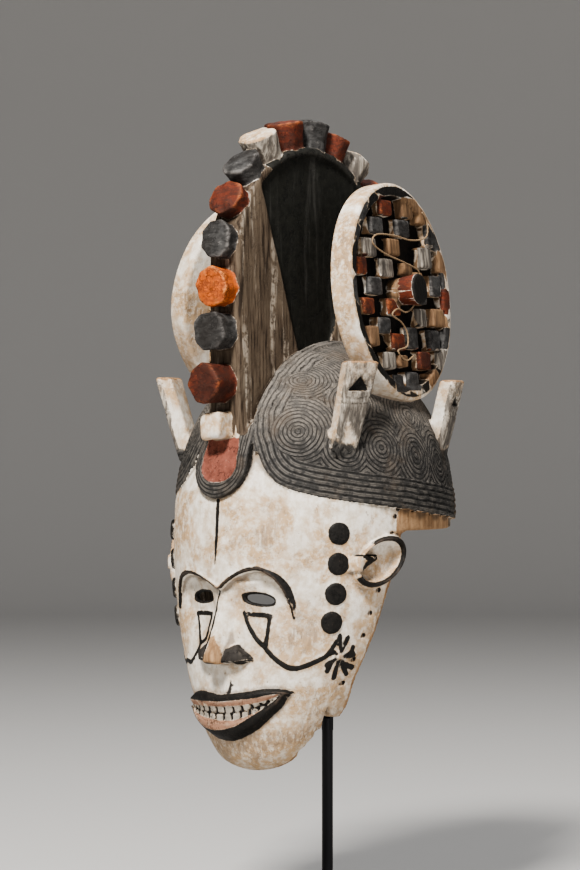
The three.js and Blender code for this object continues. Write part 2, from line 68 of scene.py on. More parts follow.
FIBRE_COLOUR = (0.26, 0.175, 0.10)
STEEL_COLOUR = (0.012, 0.012, 0.014)

Array = np.ndarray
Point = tuple[float, float, float]
Box = tuple[Point, Point]
Line = tuple[tuple[float, float], ...]


class Pigment(Enum):
    """Linear base colours of the carving's paints and bare surfaces."""

    WHITE = (0.66, 0.59, 0.50)
    WOOD = (0.43, 0.275, 0.155)
    PINK = (0.36, 0.20, 0.13)
    GREY = (0.040, 0.035, 0.031)
    RED = (0.235, 0.080, 0.055)
    ORANGE = (0.50, 0.115, 0.025)
    BLACK = (0.013, 0.0115, 0.010)
    # Black paint worn to grey, lightened further as painted sheen.
    COAL = (0.062, 0.060, 0.058)
    BRICK = (0.125, 0.029, 0.015)
    TAN = (0.27, 0.165, 0.09)
    HAIR = (0.060, 0.057, 0.053)
    PANEL = (0.017, 0.017, 0.014)
    WORN = (0.128, 0.096, 0.067)
    # Painted shade: laid in the drilled holes, the ear's hole and the disc's tray between the blocks.
    DARK = (0.012, 0.009, 0.007)
    TOOTH = (0.40, 0.355, 0.295)
    ASH = (0.36, 0.325, 0.28)


# ---------------------------------------------------------------- helpers


def smooth_min(a: Array, b: Array, blend: float) -> Array:
    """Joins two distances with a fillet of about the blend's size."""
    if blend <= 0:
        return np.minimum(a, b)
    h = np.maximum(blend - np.abs(a - b), 0.0) / blend
    return np.minimum(a, b) - h * h * blend * 0.25


def smooth_max(a: Array, b: Array, blend: float) -> Array:
    """Intersects two distances with an eased edge of about the blend's size."""
    return -smooth_min(-a, -b, blend)


def smoothstep(low: float, high: float, value: Array) -> Array:
    """Eased 0 to 1 ramp between low and high."""
    t = np.clip((value - low) / (high - low), 0.0, 1.0)
    return t * t * (3.0 - 2.0 * t)


def bead(phase: Array) -> Array:
    """Rounded strands with sharp grooves at whole numbers: 0 in a groove, 1 on a strand."""
    t = 2.0 * (phase - np.floor(phase)) - 1.0
    return np.sqrt(np.maximum(1.0 - t * t, 0.0))


def ellipsoid(x: Array, y: Array, z: Array, centre: Sequence[float], radii: Sequence[float]) -> Array:
    """Near-true distance to an ellipsoid."""
    px, py, pz = (x - centre[0]) / radii[0], (y - centre[1]) / radii[1], (z - centre[2]) / radii[2]
    k = np.sqrt(px * px + py * py + pz * pz) + 1e-6
    g = np.sqrt((px / radii[0]) ** 2 + (py / radii[1]) ** 2 + (pz / radii[2]) ** 2) + 1e-9
    return k * (k - 1.0) / g


def spline(knots: Sequence[Sequence[float]], per: int = 8) -> Array:
    """Catmull-Rom curve through the knots."""
    p = np.asarray(knots, float)
    p = np.vstack([2 * p[0] - p[1], p, 2 * p[-1] - p[-2]])
    out = []
    for i in range(1, len(p) - 2):
        for t in np.linspace(0, 1, per, endpoint=False):
            a, b, c, d = p[i - 1], p[i], p[i + 1], p[i + 2]
            out.append(
                0.5 * (2 * b + (c - a) * t + (2 * a - 5 * b + 4 * c - d) * t**2 + (3 * b - a - 3 * c + d) * t**3)
            )
    out.append(p[-2])
    return np.array(out)


def to_polyline(points: Array, line: Array) -> tuple[Array, Array]:
    """Distance from each point to a polyline and the share of its length where it is nearest.

    Args:
        points: N by 2 or 3.
        line: M by the same.
    """
    best = np.full(len(points), 1e9)
    where = np.zeros(len(points))
    for i in range(len(line) - 1):
        a, b = line[i], line[i + 1]
        ab = b - a
        t = np.clip((points - a) @ ab / (ab @ ab + 1e-12), 0, 1)
        gap = points - (a + t[:, None] * ab)
        d = np.sqrt((gap * gap).sum(1))
        near = d < best
        best[near] = d[near]
        where[near] = (i + t[near]) / (len(line) - 1)
    return best, where


def cos_sin(degrees: float) -> tuple[float, float]:
    """Cosine and sine of an angle."""
    return math.cos(math.radians(degrees)), math.sin(math.radians(degrees))


def flat(x: Array, y: Array, z: Array) -> Array:
    """Broadcast coordinates as an N by 3 array."""
    x, y, z = np.broadcast_arrays(x, y, z)
    return np.stack([x.ravel(), y.ravel(), z.ravel()], 1)


def ripple(x: Array, y: Array, z: Array, size: float, seed: float) -> Array:
    """Smooth cheap unevenness between about -1 and 1 with lumps of the given size."""
    k = 2 * math.pi / size
    return (
        np.sin(k * x + 1.7 * seed) * np.sin(k * 0.8 * y + 2.3 * seed + 1.1)
        + np.sin(k * 0.63 * y + 3.1 * seed) * np.sin(k * 0.71 * z + 0.6 * seed)
        + np.sin(k * 0.9 * z + 1.3 * seed) * np.sin(k * 0.55 * x + 0.4)
    ) / 2.0


# ---------------------------------------------------------------- block of wood


class Shape(Protocol):
    """One part of the carving. Shapes are the same on both sides, so x comes in as its distance from the middle."""

    reach: Box

    def distance(self, x: Array, y: Array, z: Array) -> Array:
        """Signed distance in millimetres, negative inside."""


@dataclass
class WoodBlock:
    """Signed distances on a regular grid.

    Args:
        step: grid spacing.
        low: lowest corner.
        high: highest corner.
    """

    step: float
    low: Point
    high: Point
    axes: list[Array] = field(init=False)
    values: Array = field(init=False)

    def __post_init__(self) -> None:
        self.axes = [np.arange(a, b + self.step, self.step, dtype=np.float32) for a, b in zip(self.low, self.high)]
        self.values = np.full([len(a) for a in self.axes], FAR, np.float32)

    def _window(self, reach: Box) -> tuple[tuple[slice, ...], list[Array]]:
        cuts = []
        for axis, low, high in zip(self.axes, *reach):
            i = int(np.searchsorted(axis, low - 3.0))
            j = int(np.searchsorted(axis, high + 3.0))
            cuts.append(slice(i, max(j, i + 1)))
        x, y, z = (axis[cut] for axis, cut in zip(self.axes, cuts))
        return tuple(cuts), [x[:, None, None], y[None, :, None], z[None, None, :]]

    def add(self, shape: Shape, blend: float = 0.0) -> None:
        """Joins a shape to the wood."""
        cut, (x, y, z) = self._window(shape.reach)
        self.values[cut] = smooth_min(self.values[cut], shape.distance(x, y, z), blend)

    def remove(self, shape: Shape, blend: float = 0.0) -> None:
        """Cuts a shape from the wood."""
        cut, (x, y, z) = self._window(shape.reach)
        self.values[cut] = smooth_max(self.values[cut], -shape.distance(x, y, z), blend)

    def join_mirrored(self, other: WoodBlock) -> None:
        """Makes a block that starts at the middle plane whole, with another one's mirror image as its other side."""
        self.values = np.concatenate([other.values[:0:-1], self.values])
        self.axes[0] = np.concatenate([-self.axes[0][:0:-1], self.axes[0]])
        self.low = (float(self.axes[0][0]), self.low[1], self.low[2])

    def _blend_cells(self, values: Array, points: Array) -> Array:
        at = (points - np.array(self.low)) / self.step
        cell = np.clip(np.floor(at).astype(int), 0, np.array(values.shape) - 2)
        part = at - cell
        total = np.zeros(len(points))
        for corner in product((0, 1), repeat=3):
            weight = np.prod(np.where(corner, part, 1.0 - part), axis=1)
            total += weight * values[tuple((cell + corner).T)]
        return total

    def front(self, across: Array, height: Array) -> Array:
        """The y where the wood begins, seen from the front."""
        depth = self.axes[1]
        out = []
        for x, z in zip(across, height):
            line = np.stack([np.full(len(depth), x), depth, np.full(len(depth), z)], 1)
            column = self._blend_cells(self.values, line)
            j = max(int(np.argmax(column < 0)), 1)
            a, b = column[j - 1], column[j]
            out.append(depth[j - 1] + self.step * a / (a - b))
        return np.array(out)

    def emboss(self, line: Array, half: float, rise: float) -> None:
        """Raises the wood along a line that lies on its surface."""
        cut, axes = self._window((tuple(line.min(0) - half - 2.0), tuple(line.max(0) + half + 2.0)))
        shape = self.values[cut].shape
        away, _ = to_polyline(flat(*axes), line)
        self.values[cut] -= (rise * smoothstep(half + 0.7, half - 0.7, away)).reshape(shape).astype(np.float32)

    def roundness(self, points: Array, reach: float) -> Array:
        """How far the surface bulges at places on it, within about a reach: above 0 on edges, below 0 in hollows."""
        spread = reach / self.step
        span = int(math.ceil(2.2 * spread))
        weights = np.exp(-0.5 * (np.arange(-span, span + 1) / spread) ** 2)
        weights /= weights.sum()
        out = np.clip(self.values, -2.0 * reach, 2.0 * reach)
        for axis in range(3):
            padded = np.pad(out, [(span, span) if a == axis else (0, 0) for a in range(3)], mode="edge")
            total = np.zeros_like(out)
            for i, weight in enumerate(weights):
                cut = [slice(None)] * 3
                cut[axis] = slice(i, i + out.shape[axis])
                total += np.float32(weight) * padded[tuple(cut)]
            out = total
        return self._blend_cells(out, points)

    def surface(self) -> tuple[Array, Array, Array]:
        """The zero surface as points in millimetres, triangles and quads."""
        grid = openvdb.FloatGrid(background=FAR)
        grid.copyFromArray(np.clip(self.values, -FAR, FAR).astype(np.float32), tolerance=0.0)
        points, triangles, quads = grid.convertToPolygons(isovalue=0.0, adaptivity=0.0)
        return points * self.step + np.array(self.low), triangles, quads


# ---------------------------------------------------------------- parts of the carving


@dataclass(frozen=True)
class Mouth:
    """The lips and teeth as lines over the whole width, x against height."""

    lip_top: Line = (
        (-47, 171.5), (-44, 173.5), (-37, 176), (-28, 178), (-20, 178.4), (-10, 177), (-2, 176.4), (11, 178.2),
        (24, 180.4), (31, 182.2), (42, 182.6), (47, 181.8), (50, 180.5),
    )  # fmt: skip
    band_low: Line = (
        (-47, 171), (-44, 171.4), (-17, 172.2), (0, 172.6), (15, 174.7), (28, 176.5), (38, 179), (46, 180.3),
    )  # fmt: skip
    inner_top: Line = (
        (-45, 168), (-40, 167), (-17.6, 168.2), (0, 168.5), (13.4, 170), (20.6, 170.9), (30.5, 173), (38.8, 175.8),
        (45, 179),
    )  # fmt: skip
    inner_low: Line = (
        (-45, 167.5), (-39, 162.5), (-30, 160.3), (-20, 159.2), (-4.6, 158), (9, 158.8), (20, 162), (29, 166.4),
        (34.3, 169.4), (40, 174), (45, 179),
    )  # fmt: skip
    pink_low: Line = (
        (-46, 170), (-40, 160), (-33.3, 154), (-24.4, 149.6), (-12.5, 148), (-1, 149.2), (11, 152.4), (20.6, 157.6),
        (28.5, 163), (35.4, 168), (46.5, 178.9),
    )  # fmt: skip
    lip_low: Line = (
        (-47, 171.3), (-42, 162), (-36.6, 155), (-30, 150.6), (-25, 147.9), (-15, 144.4), (-6, 143.4), (2, 143.5),
        (9, 145.4), (19, 149.9), (27, 155.3), (34.6, 162.4), (42.7, 170.6), (47, 178), (50, 180.5),
    )  # fmt: skip
    gaps: tuple[float, ...] = (-37, -30.5, -23.2, -15.6, -7.8, 0.4, 8.4, 16.2, 23.5, 30, 35)

    @staticmethod
    def at(line: Line, x: Array) -> Array:
        """Height of a line over a place across."""
        rows = np.array(line)
        return np.interp(x, rows[:, 0], rows[:, 1])

    def gap(self, x: Array, z: Array) -> Array:
        """Distance across to the nearest gap between teeth."""
        middle = (self.at(self.inner_top, x) + self.at(self.inner_low, x)) / 2
        lean = np.where(z > middle, 0.9, -0.9)
        d = np.full(np.broadcast(x, z).shape, 99.0)
        for g in self.gaps:
            d = np.minimum(d, np.abs(x - g - lean))
        return d

    def rise(self, x: Array, z: Array) -> Array:
        """How far lips and teeth stand off the face."""
        top, low = self.at(self.lip_top, x), self.at(self.lip_low, x)
        inner_top, inner_low = self.at(self.inner_top, x), self.at(self.inner_low, x)
        upper = (top - z) / np.maximum(top - inner_top, 1.0)
        lower = (z - low) / np.maximum(inner_low - low, 1.0)
        up = np.interp(upper, [-0.12, 0.1, 0.3, 0.55, 1.0, 1.12], [0, 3.2, 4.6, 4.8, 3.4, 0.8])
        down = np.interp(lower, [-0.08, 0.08, 0.2, 0.42, 0.8, 1.0, 1.12], [0, 2.6, 4.4, 5.6, 5.2, 3.6, 0.8])
        middle = (inner_top + inner_low) / 2
        lips = np.where(z > middle, up, down)
        open_mouth = np.minimum(inner_top - z, z - inner_low)
        tooth = 2.3 * smoothstep(0.4, 1.3, self.gap(x, z)) * smoothstep(0.2, 1.0, np.abs(z - middle) + 0.35)
        lips = np.where(open_mouth > 0, np.maximum(0.8 + tooth, lips - 3.0 * open_mouth), lips)
        return lips * smoothstep(-48.5, -44.5, x) * smoothstep(51.5, 47.5, x)


@dataclass(frozen=True)
class Face:
    """One side of the face as oval sections, with its socket, lips and low relief.

    Args:
        side: 1 on the wearer's left, -1 on the right.
    """

    side: float = 1.0
    mouth: Mouth = Mouth()
    reach: Box = ((0, -130, 105), (106, 5, 362))
    # height, front, half width, rear edge
    levels: tuple[tuple[float, float, float, float], ...] = (
        (117.5, -64, 6, -60), (119.5, -70, 16, -59), (123, -76, 27, -57), (130, -81, 36, -54),
        (138, -85, 43, -50), (146, -89, 50, -45), (154, -92, 56, -37), (167, -95, 64, -31),
        (185, -97, 71.5, -32), (205, -98, 79, -28), (222, -100, 84.5, -23), (244, -102, 89.5, -18),
        (270, -106, 93, -10), (292, -107, 95.5, -5), (320, -105, 95.5, -2), (340, -99, 91, -1),
        (356, -92, 84, 2),
    )  # fmt: skip
    brow: Line = (
        (0, 257), (3, 257.4), (8.4, 261.6), (17, 266.7), (24, 269.8), (31, 271.7), (37, 271.6), (45, 266.3),
        (49.5, 259.3), (52, 253.3), (54.5, 244), (56, 236),
    )  # fmt: skip

    def section(self, z: Array) -> tuple[Array, Array, Array]:
        """Front, half width and rear edge at a height."""
        rows = np.array(self.levels)
        fine = np.arange(rows[0, 0], rows[-1, 0] + 1.0)
        kernel = np.exp(-0.5 * (np.arange(-9, 10) / 3.5) ** 2)
        kernel /= kernel.sum()
        out = []
        for column in (1, 2, 3):
            curve = np.interp(fine, rows[:, 0], rows[:, column])
            padded = np.concatenate([2 * curve[0] - curve[9:0:-1], curve, 2 * curve[-1] - curve[-2:-11:-1]])
            smooth = np.convolve(padded, kernel, "valid")
            out.append(np.interp(z, fine, smooth))
        return out[0], np.maximum(out[1], 1.0), out[2]

    def front_y(self, x: Array, z: Array) -> Array:
        """The y of the plain face surface."""
        front, half, back = self.section(z)
        return back - (back - front) * np.sqrt(np.maximum(1.0 - (x / half) ** 2, 0.0))

    def plain(self, x: Array, y: Array, z: Array, inset: float = 0.0, overrun: float = 0.0) -> Array:
        """Distance to the plain column, thinner by an inset, its rear moved back by an overrun."""
        front, half, back = self.section(z)
        a, b = np.maximum(half - inset, 1.0), np.maximum(back - front - inset, 1.0)
        q = np.sqrt((x / a) ** 2 + ((y - back) / b) ** 2) + 1e-6
        g = np.sqrt((x / a**2) ** 2 + ((y - back) / b**2) ** 2) / q + 1e-6
        oval = (q - 1.0) / g
        straight = x - a
        return np.maximum(np.where(y < back, oval, straight), y - back - overrun)

    def relief(self, x: Array, z: Array) -> Array:
        """How far the carved surface stands off the plain one."""
        arc = np.interp(x, *np.array(self.brow).T)
        under = smoothstep(-0.2, 2.6, arc - z)
        bowl = 11.0 * np.exp(-(((z - 250) / 19.0) ** 2)) * np.exp(-((np.maximum(np.abs(x - 25) - 5, 0) / 19.0) ** 2))
        cheek = 2.5 * np.exp(-(((z - 224) / 12.0) ** 2)) * np.exp(-(((x - 30) / 16.0) ** 2))
        out = -under * (bowl + cheek)
        lid = np.sqrt(((x - 28) / 17.5) ** 2 + ((z - 249) / 9.5) ** 2)
        out = out + 2.4 * smoothstep(1.25, 0.55, lid)
        out = out + 0.9 * smoothstep(2.6, 0.6, np.abs(arc - z + 0.6)) * (x < 55)
        return out + self.mouth.rise(self.side * x, z)

    def distance(self, x: Array, y: Array, z: Array) -> Array:
        plain = self.plain(x, y, z)
        facing = smoothstep(-42.0, -60.0, y)
        d = plain - self.relief(x, z) * facing
        d = d + 0.35 * ripple(x, y, z, 34.0, 1.0)
        return smooth_max(d, 118.3 - z, 5.0)


@dataclass(frozen=True)
class Nose:
    """A narrow ridged nose with flat-fronted wings, as heights over the face."""

    face: Face
    reach: Box = ((0, -125, 192), (30, -80, 266))

    def distance(self, x: Array, y: Array, z: Array) -> Array:
        ridge = np.interp(z, [199, 203, 208, 226, 240, 256, 262], [-109, -115, -115.3, -108, -103.2, -99, -96.5])
        width = np.interp(z, [198, 215, 240, 262], [5.2, 3.6, 2.2, 2.6])
        base = np.interp(z, [199, 214, 225, 245, 262], [13, 11, 10.5, 8.5, 10.0])
        base_y = self.face.front_y(x, z) + 5.0
        share = np.clip((x - width) / (base - width), 0, 1.6)
        bridge = ridge + (base_y - ridge) * share**1.15
        d_bridge = (bridge - y) * 0.72
        under = 200.5 + (y + 112.0) * 0.10 - z
        d_bridge = smooth_max(d_bridge, under, 2.0)
        wing_top = np.interp(x, [3, 8, 14, 27], [212, 215, 216, 203.0])
        bulge = np.interp(x, [0, 6, 13, 20, 27], [4, 8, 9.5, 7, 0])
        wing = self.face.front_y(x, z) - bulge * smoothstep(219, 206, z)
        d_wing = np.maximum((wing - y) * 0.85, (z - wing_top) * 0.7)
        d_wing = smooth_max(d_wing, 201.2 + 0.08 * x - z, 1.2)
        return np.maximum(smooth_min(d_bridge, d_wing, 1.2), z - 262.0)


@dataclass(frozen=True)
class Cap:
    """The domed head under the hair."""

    centre: Point = (0.0, 11.0, 309.0)
    radii: Point = (102.0, 116.0, 135.0)
    skull: float = 0.965
    rim: float = 298.8
    reach: Box = ((0, -112, 290), (106, 130, 450))

    def distance(self, x: Array, y: Array, z: Array) -> Array:
        radii = [r * self.skull for r in self.radii]
        level = np.maximum(z, self.centre[2])
        above = ellipsoid(x, y, level, self.centre, radii)
        return smooth_max(above, self.rim - z, 1.5)

    def on(self, degrees: float, z: float) -> Array:
        """A point of the hair's surface at an angle from the front and a height."""
        a = math.radians(degrees)
        r = math.sqrt(max(0.0, 1 - (max(z - self.centre[2], 0) / self.radii[2]) ** 2))
        return np.array(
            [math.sin(a) * self.radii[0] * r, self.centre[1] - math.cos(a) * self.radii[1] * r, z], float
        )


@dataclass(frozen=True)
class Rosette:
    """A coil of hair at an angle from the front and a height."""

    degrees: float
    z: float
    radius: float
    tall: float = 1.0


@dataclass(frozen=True)
class Hair:
    """The two lobes of dressed hair: ridges along their edge, coils within."""

    cap: Cap
    reach: Box = ((0, -118, 296), (108, 132, 452))
    edge: tuple[tuple[float, float], ...] = (
        (180, 304), (126, 306), (96, 311.6), (79, 316), (61, 320), (45, 324.7), (33, 330), (27, 335),
        (21.5, 345), (17.5, 358),
    )  # fmt: skip
    parting: tuple[Point, ...] = (
        (18.0, -85, 381), (16.5, -70, 404), (16.0, -46, 425), (16.0, -24, 436),
    )  # fmt: skip
    rosettes: tuple[Rosette, ...] = (
        Rosette(35, 373, 20.0), Rosette(56, 361, 14.5), Rosette(72.5, 361, 14.0, 1.1),
        Rosette(91, 355, 14.5, 1.25), Rosette(108, 351, 13.0, 1.3), Rosette(128, 349, 15.0, 1.1),
        Rosette(150, 350, 15.0, 1.1), Rosette(170, 348, 10.0, 1.1), Rosette(35, 411, 13.0, 0.62),
        Rosette(62, 394, 9.0), Rosette(95, 385, 10.0), Rosette(125, 384, 13.0), Rosette(158, 388, 14.0),
    )  # fmt: skip
    pitch: float = 4.3
    band: float = 23.2

    def outline(self) -> Array:
        """The edge of a lobe, from the back round to the parting and back over the top."""
        low = [self.cap.on(a, z) for a, z in self.edge]
        curve = spline([*low, *[np.array(p) for p in self.parting]], 5)
        top = []
        cy, cz = self.cap.centre[1], self.cap.centre[2]
        for y in np.linspace(-15, cy + 112, 16):
            r = 1 - (16.0 / self.cap.radii[0]) ** 2 - ((y - cy) / self.cap.radii[1]) ** 2
            top.append([16.0, y, cz + self.cap.radii[2] * math.sqrt(max(r, 0.0))])
        return np.vstack([curve, top])

    def runs(self, points: Array) -> tuple[Array, Array, Array, Array]:
        """Places in the pattern at points near the cap.

        Returns:
            Signed depth inside the lobe, ridges counted from the edge, rings counted from a coil's rim, and how far
            a point is among the coils, above 0 there.
        """
        x, y, z = points[:, 0], points[:, 1], points[:, 2]
        line = self.outline()
        gap, share = to_polyline(points, line)
        front = (len(self.edge) + len(self.parting) - 1) * 5 / (len(line) - 1)
        degrees = np.degrees(np.arctan2(x / self.cap.radii[0], -(y - self.cap.centre[1]) / self.cap.radii[1]))
        order = np.array(self.edge)[::-1]
        floor = np.interp(degrees, order[:, 0], order[:, 1], left=order[0, 1])
        side = np.interp(z, [358, 381, 404, 425, 436], [30.0, 18.0, 16.5, 16.0, 16.0])
        inside = (z > floor) & np.where((y < 0) & (z > 356), x > np.where(z < 381, 16 + (381 - z) * 0.45, side), True)
        inside &= x > 15.9
        depth = np.where(inside, gap, -gap)
        coil = np.full(len(points), 99.0)
        for r in self.rosettes:
            d = points - self.cap.on(r.degrees, r.z)
            coil = np.minimum(coil, np.sqrt(d[:, 0] ** 2 + d[:, 1] ** 2 + (d[:, 2] / r.tall) ** 2) - r.radius)
        band = np.where(share < front, self.band, self.band * 0.42)
        return depth, gap / self.pitch, coil / 3.0 + 20.0, np.maximum(-coil, gap - band)

    def height(self, edge: Array, coil: Array, among: Array) -> Array:
        """Carved height of the pattern over the cap."""
        phase = np.where(among > 0, coil, edge)
        high = np.where(among > 0, np.interp((coil - 20.0) * 3.0, [0, 4, 12], [1.5, 1.3, 0.5]), 2.0)
        return high * bead(phase) - 1.3

    def distance(self, x: Array, y: Array, z: Array) -> Array:
        level = np.maximum(z, self.cap.centre[2])
        d = ellipsoid(x, y, level, self.cap.centre, self.cap.radii)
        x, y, z, d = np.broadcast_arrays(x, y, z, d)
        out = np.array(d)
        near = np.abs(d) < 5.0
        depth, *runs = self.runs(np.stack([x[near], y[near], z[near]], 1))
        out[near] = smooth_max(d[near] - self.height(*runs), -depth, 2.5)
        deep = ~near & (d < 0)
        out[deep] = np.maximum(out[deep], -4.0)
        lobe = z > np.interp(y, [-118, -60, 0, 60, 130], [348, 330, 318, 310, 306])
        out[deep & ~lobe] = 4.0
        return out


@dataclass(frozen=True)
class Lappet:
    """The ridged tongue of hair on the forehead."""

    cap: Cap
    half: float = 24.6
    turn: float = 348.0
    top: float = 378.0
    taper: float = 0.88
    pitch_below: float = 3.0
    pitch_beside: float = 2.0
    ridges: int = 4
    reach: Box = ((0, -118, 315), (30, -70, 384))

    def depth(self, x: Array, z: Array) -> Array:
        """How far inside the outline a place on the front is."""
        wide = np.interp(z, [self.turn, self.top], [self.half, self.half * self.taper])
        return np.where(z < self.turn, self.half - np.hypot(x, z - self.turn), wide - x)

    def run(self, x: Array, z: Array) -> Array:
        """Ridges counted from the outline inwards, narrower beside the red than below it."""
        below = np.minimum(z - self.turn, 0.0)
        sideways = x * x / np.maximum(x * x + below * below, 0.01)
        return self.depth(x, z) / (self.pitch_below + (self.pitch_beside - self.pitch_below) * sideways)

    def distance(self, x: Array, y: Array, z: Array) -> Array:
        depth = self.depth(x, z)
        phase = self.run(x, z)
        ridged = 3.4 + 1.5 * bead(phase) - 0.5
        rise = np.where(phase < self.ridges, ridged, 2.6)
        rise = rise * np.interp(z, [352, self.top], [1.0, 0.35])
        d = ellipsoid(x, y, z, self.cap.centre, self.cap.radii) - rise
        d = smooth_max(d, -depth, 2.2)
        return np.maximum(np.maximum(d, z - self.top), -8.0 - d)


@dataclass(frozen=True)
class Crest:
    """The tall round-topped plate, with a sunken panel on each side."""

    y: float = -9.0
    z: float = 501.0
    radius: float = 88.0
    foot: float = 352.0
    half: float = 15.0
    sunk: float = 3.2
    reach: Box = ((0, -100, 350), (20, 82, 592))

    def profile(self, y: Array, z: Array) -> Array:
        """Distance to the round-topped outline in the middle plane."""
        dy = y - self.y
        return np.where(z > self.z, np.hypot(dy, z - self.z) - self.radius, np.abs(dy) - self.radius)

    def panel(self, y: Array, z: Array) -> Array:
        """Distance to the petal-shaped panel's outline."""
        dy = np.abs(y - self.y)
        side = np.interp(z, [378, 438, 553, 600], [0.5, 20, 58, 74])
        arch = np.hypot(y - self.y, z - self.z) - (self.radius - 6.0)
        return smooth_max((dy - side) * 0.94, arch, 3.0)

    def distance(self, x: Array, y: Array, z: Array) -> Array:
        thick = np.interp(z, [self.foot, 430, 560], [self.half + 1.0, self.half + 0.5, self.half - 1.5])
        edge = self.profile(y, z) + 0.6 * ripple(x * 0, y, z, 26.0, 2.0)
        sunk = self.sunk * smoothstep(1.2, -2.0, self.panel(y, z))
        side = x - thick + sunk + 0.35 * ripple(x * 0, y * 2.2, z, 40.0, 3.0)
        d = smooth_max(edge, side, 3.5)
        return np.maximum(d, self.foot - z)


@dataclass(frozen=True)
class Peg:
    """A peg that widens outwards, set on the crest's edge."""

    y: float
    z: float
    degrees: float
    length: float
    root: float
    tip: float
    turn: float
    pigment: Pigment

    @property
    def reach(self) -> Box:
        e = self.axis()
        a = np.array([0, self.y, self.z])
        b = a + e * self.length
        low, high = np.minimum(a, b) - 17.0, np.maximum(a, b) + 17.0
        return ((-18.0, low[1], low[2]), (18.0, high[1], high[2]))

    def axis(self) -> Array:
        a = math.radians(self.degrees)
        return np.array([0.0, -math.cos(a), math.sin(a)])

    def along(self, y: Array, z: Array) -> Array:
        """Distance out from the crest's edge."""
        e = self.axis()
        return (y - self.y) * e[1] + (z - self.z) * e[2]

    def distance(self, x: Array, y: Array, z: Array) -> Array:
        e = self.axis()
        along = self.along(y, z)
        across = -(y - self.y) * e[2] + (z - self.z) * e[1]
        middle = (self.root + self.tip) / 2
        radius = np.interp(along, [-2, self.length * 0.5, self.length], [self.root, middle, self.tip])
        d = np.full(np.broadcast(x, along).shape, -99.0, np.float32)
        for i in range(4):
            a = self.turn + i * math.pi / 4
            flatness = 1.0 + 0.045 * math.sin(3.7 * i + self.z)
            d = smooth_max(d, np.abs(x * math.cos(a) + across * math.sin(a)) - radius * flatness, 1.3)
        dome = (x * x + across * across) / 240.0
        end = along - self.length + dome + 0.55 * ripple(x, y, z, 11.0, self.z)
        d = smooth_max(d, end, 1.5) + 0.3 * ripple(x, y, z, 9.0, self.z + 1.0) + 0.35 * ripple(x, y, z, 23.0, self.z)
        return np.maximum(d, -4.0 - along)


@dataclass(frozen=True)
class BlockPeg:
    """The small squared peg over the forehead lappet."""

    z: float = 377.0
    reach: Box = ((-18, -116, 360), (18, -85, 395))

    def distance(self, x: Array, y: Array, z: Array) -> Array:
        grow = np.interp(y, [-114, -92], [0.0, -1.5])
        d = smooth_max(np.abs(x + 1.5) - 10.2 - grow, np.abs(z - self.z - 0.06 * x) - 10.5 - grow, 5.0)
        front = -112.5 - y + 0.05 * (z - self.z)
        d = smooth_max(d, front, 4.5) + 0.7 * ripple(x, y, z, 14.0, 4.0)
        return np.maximum(d, y + 88.0)


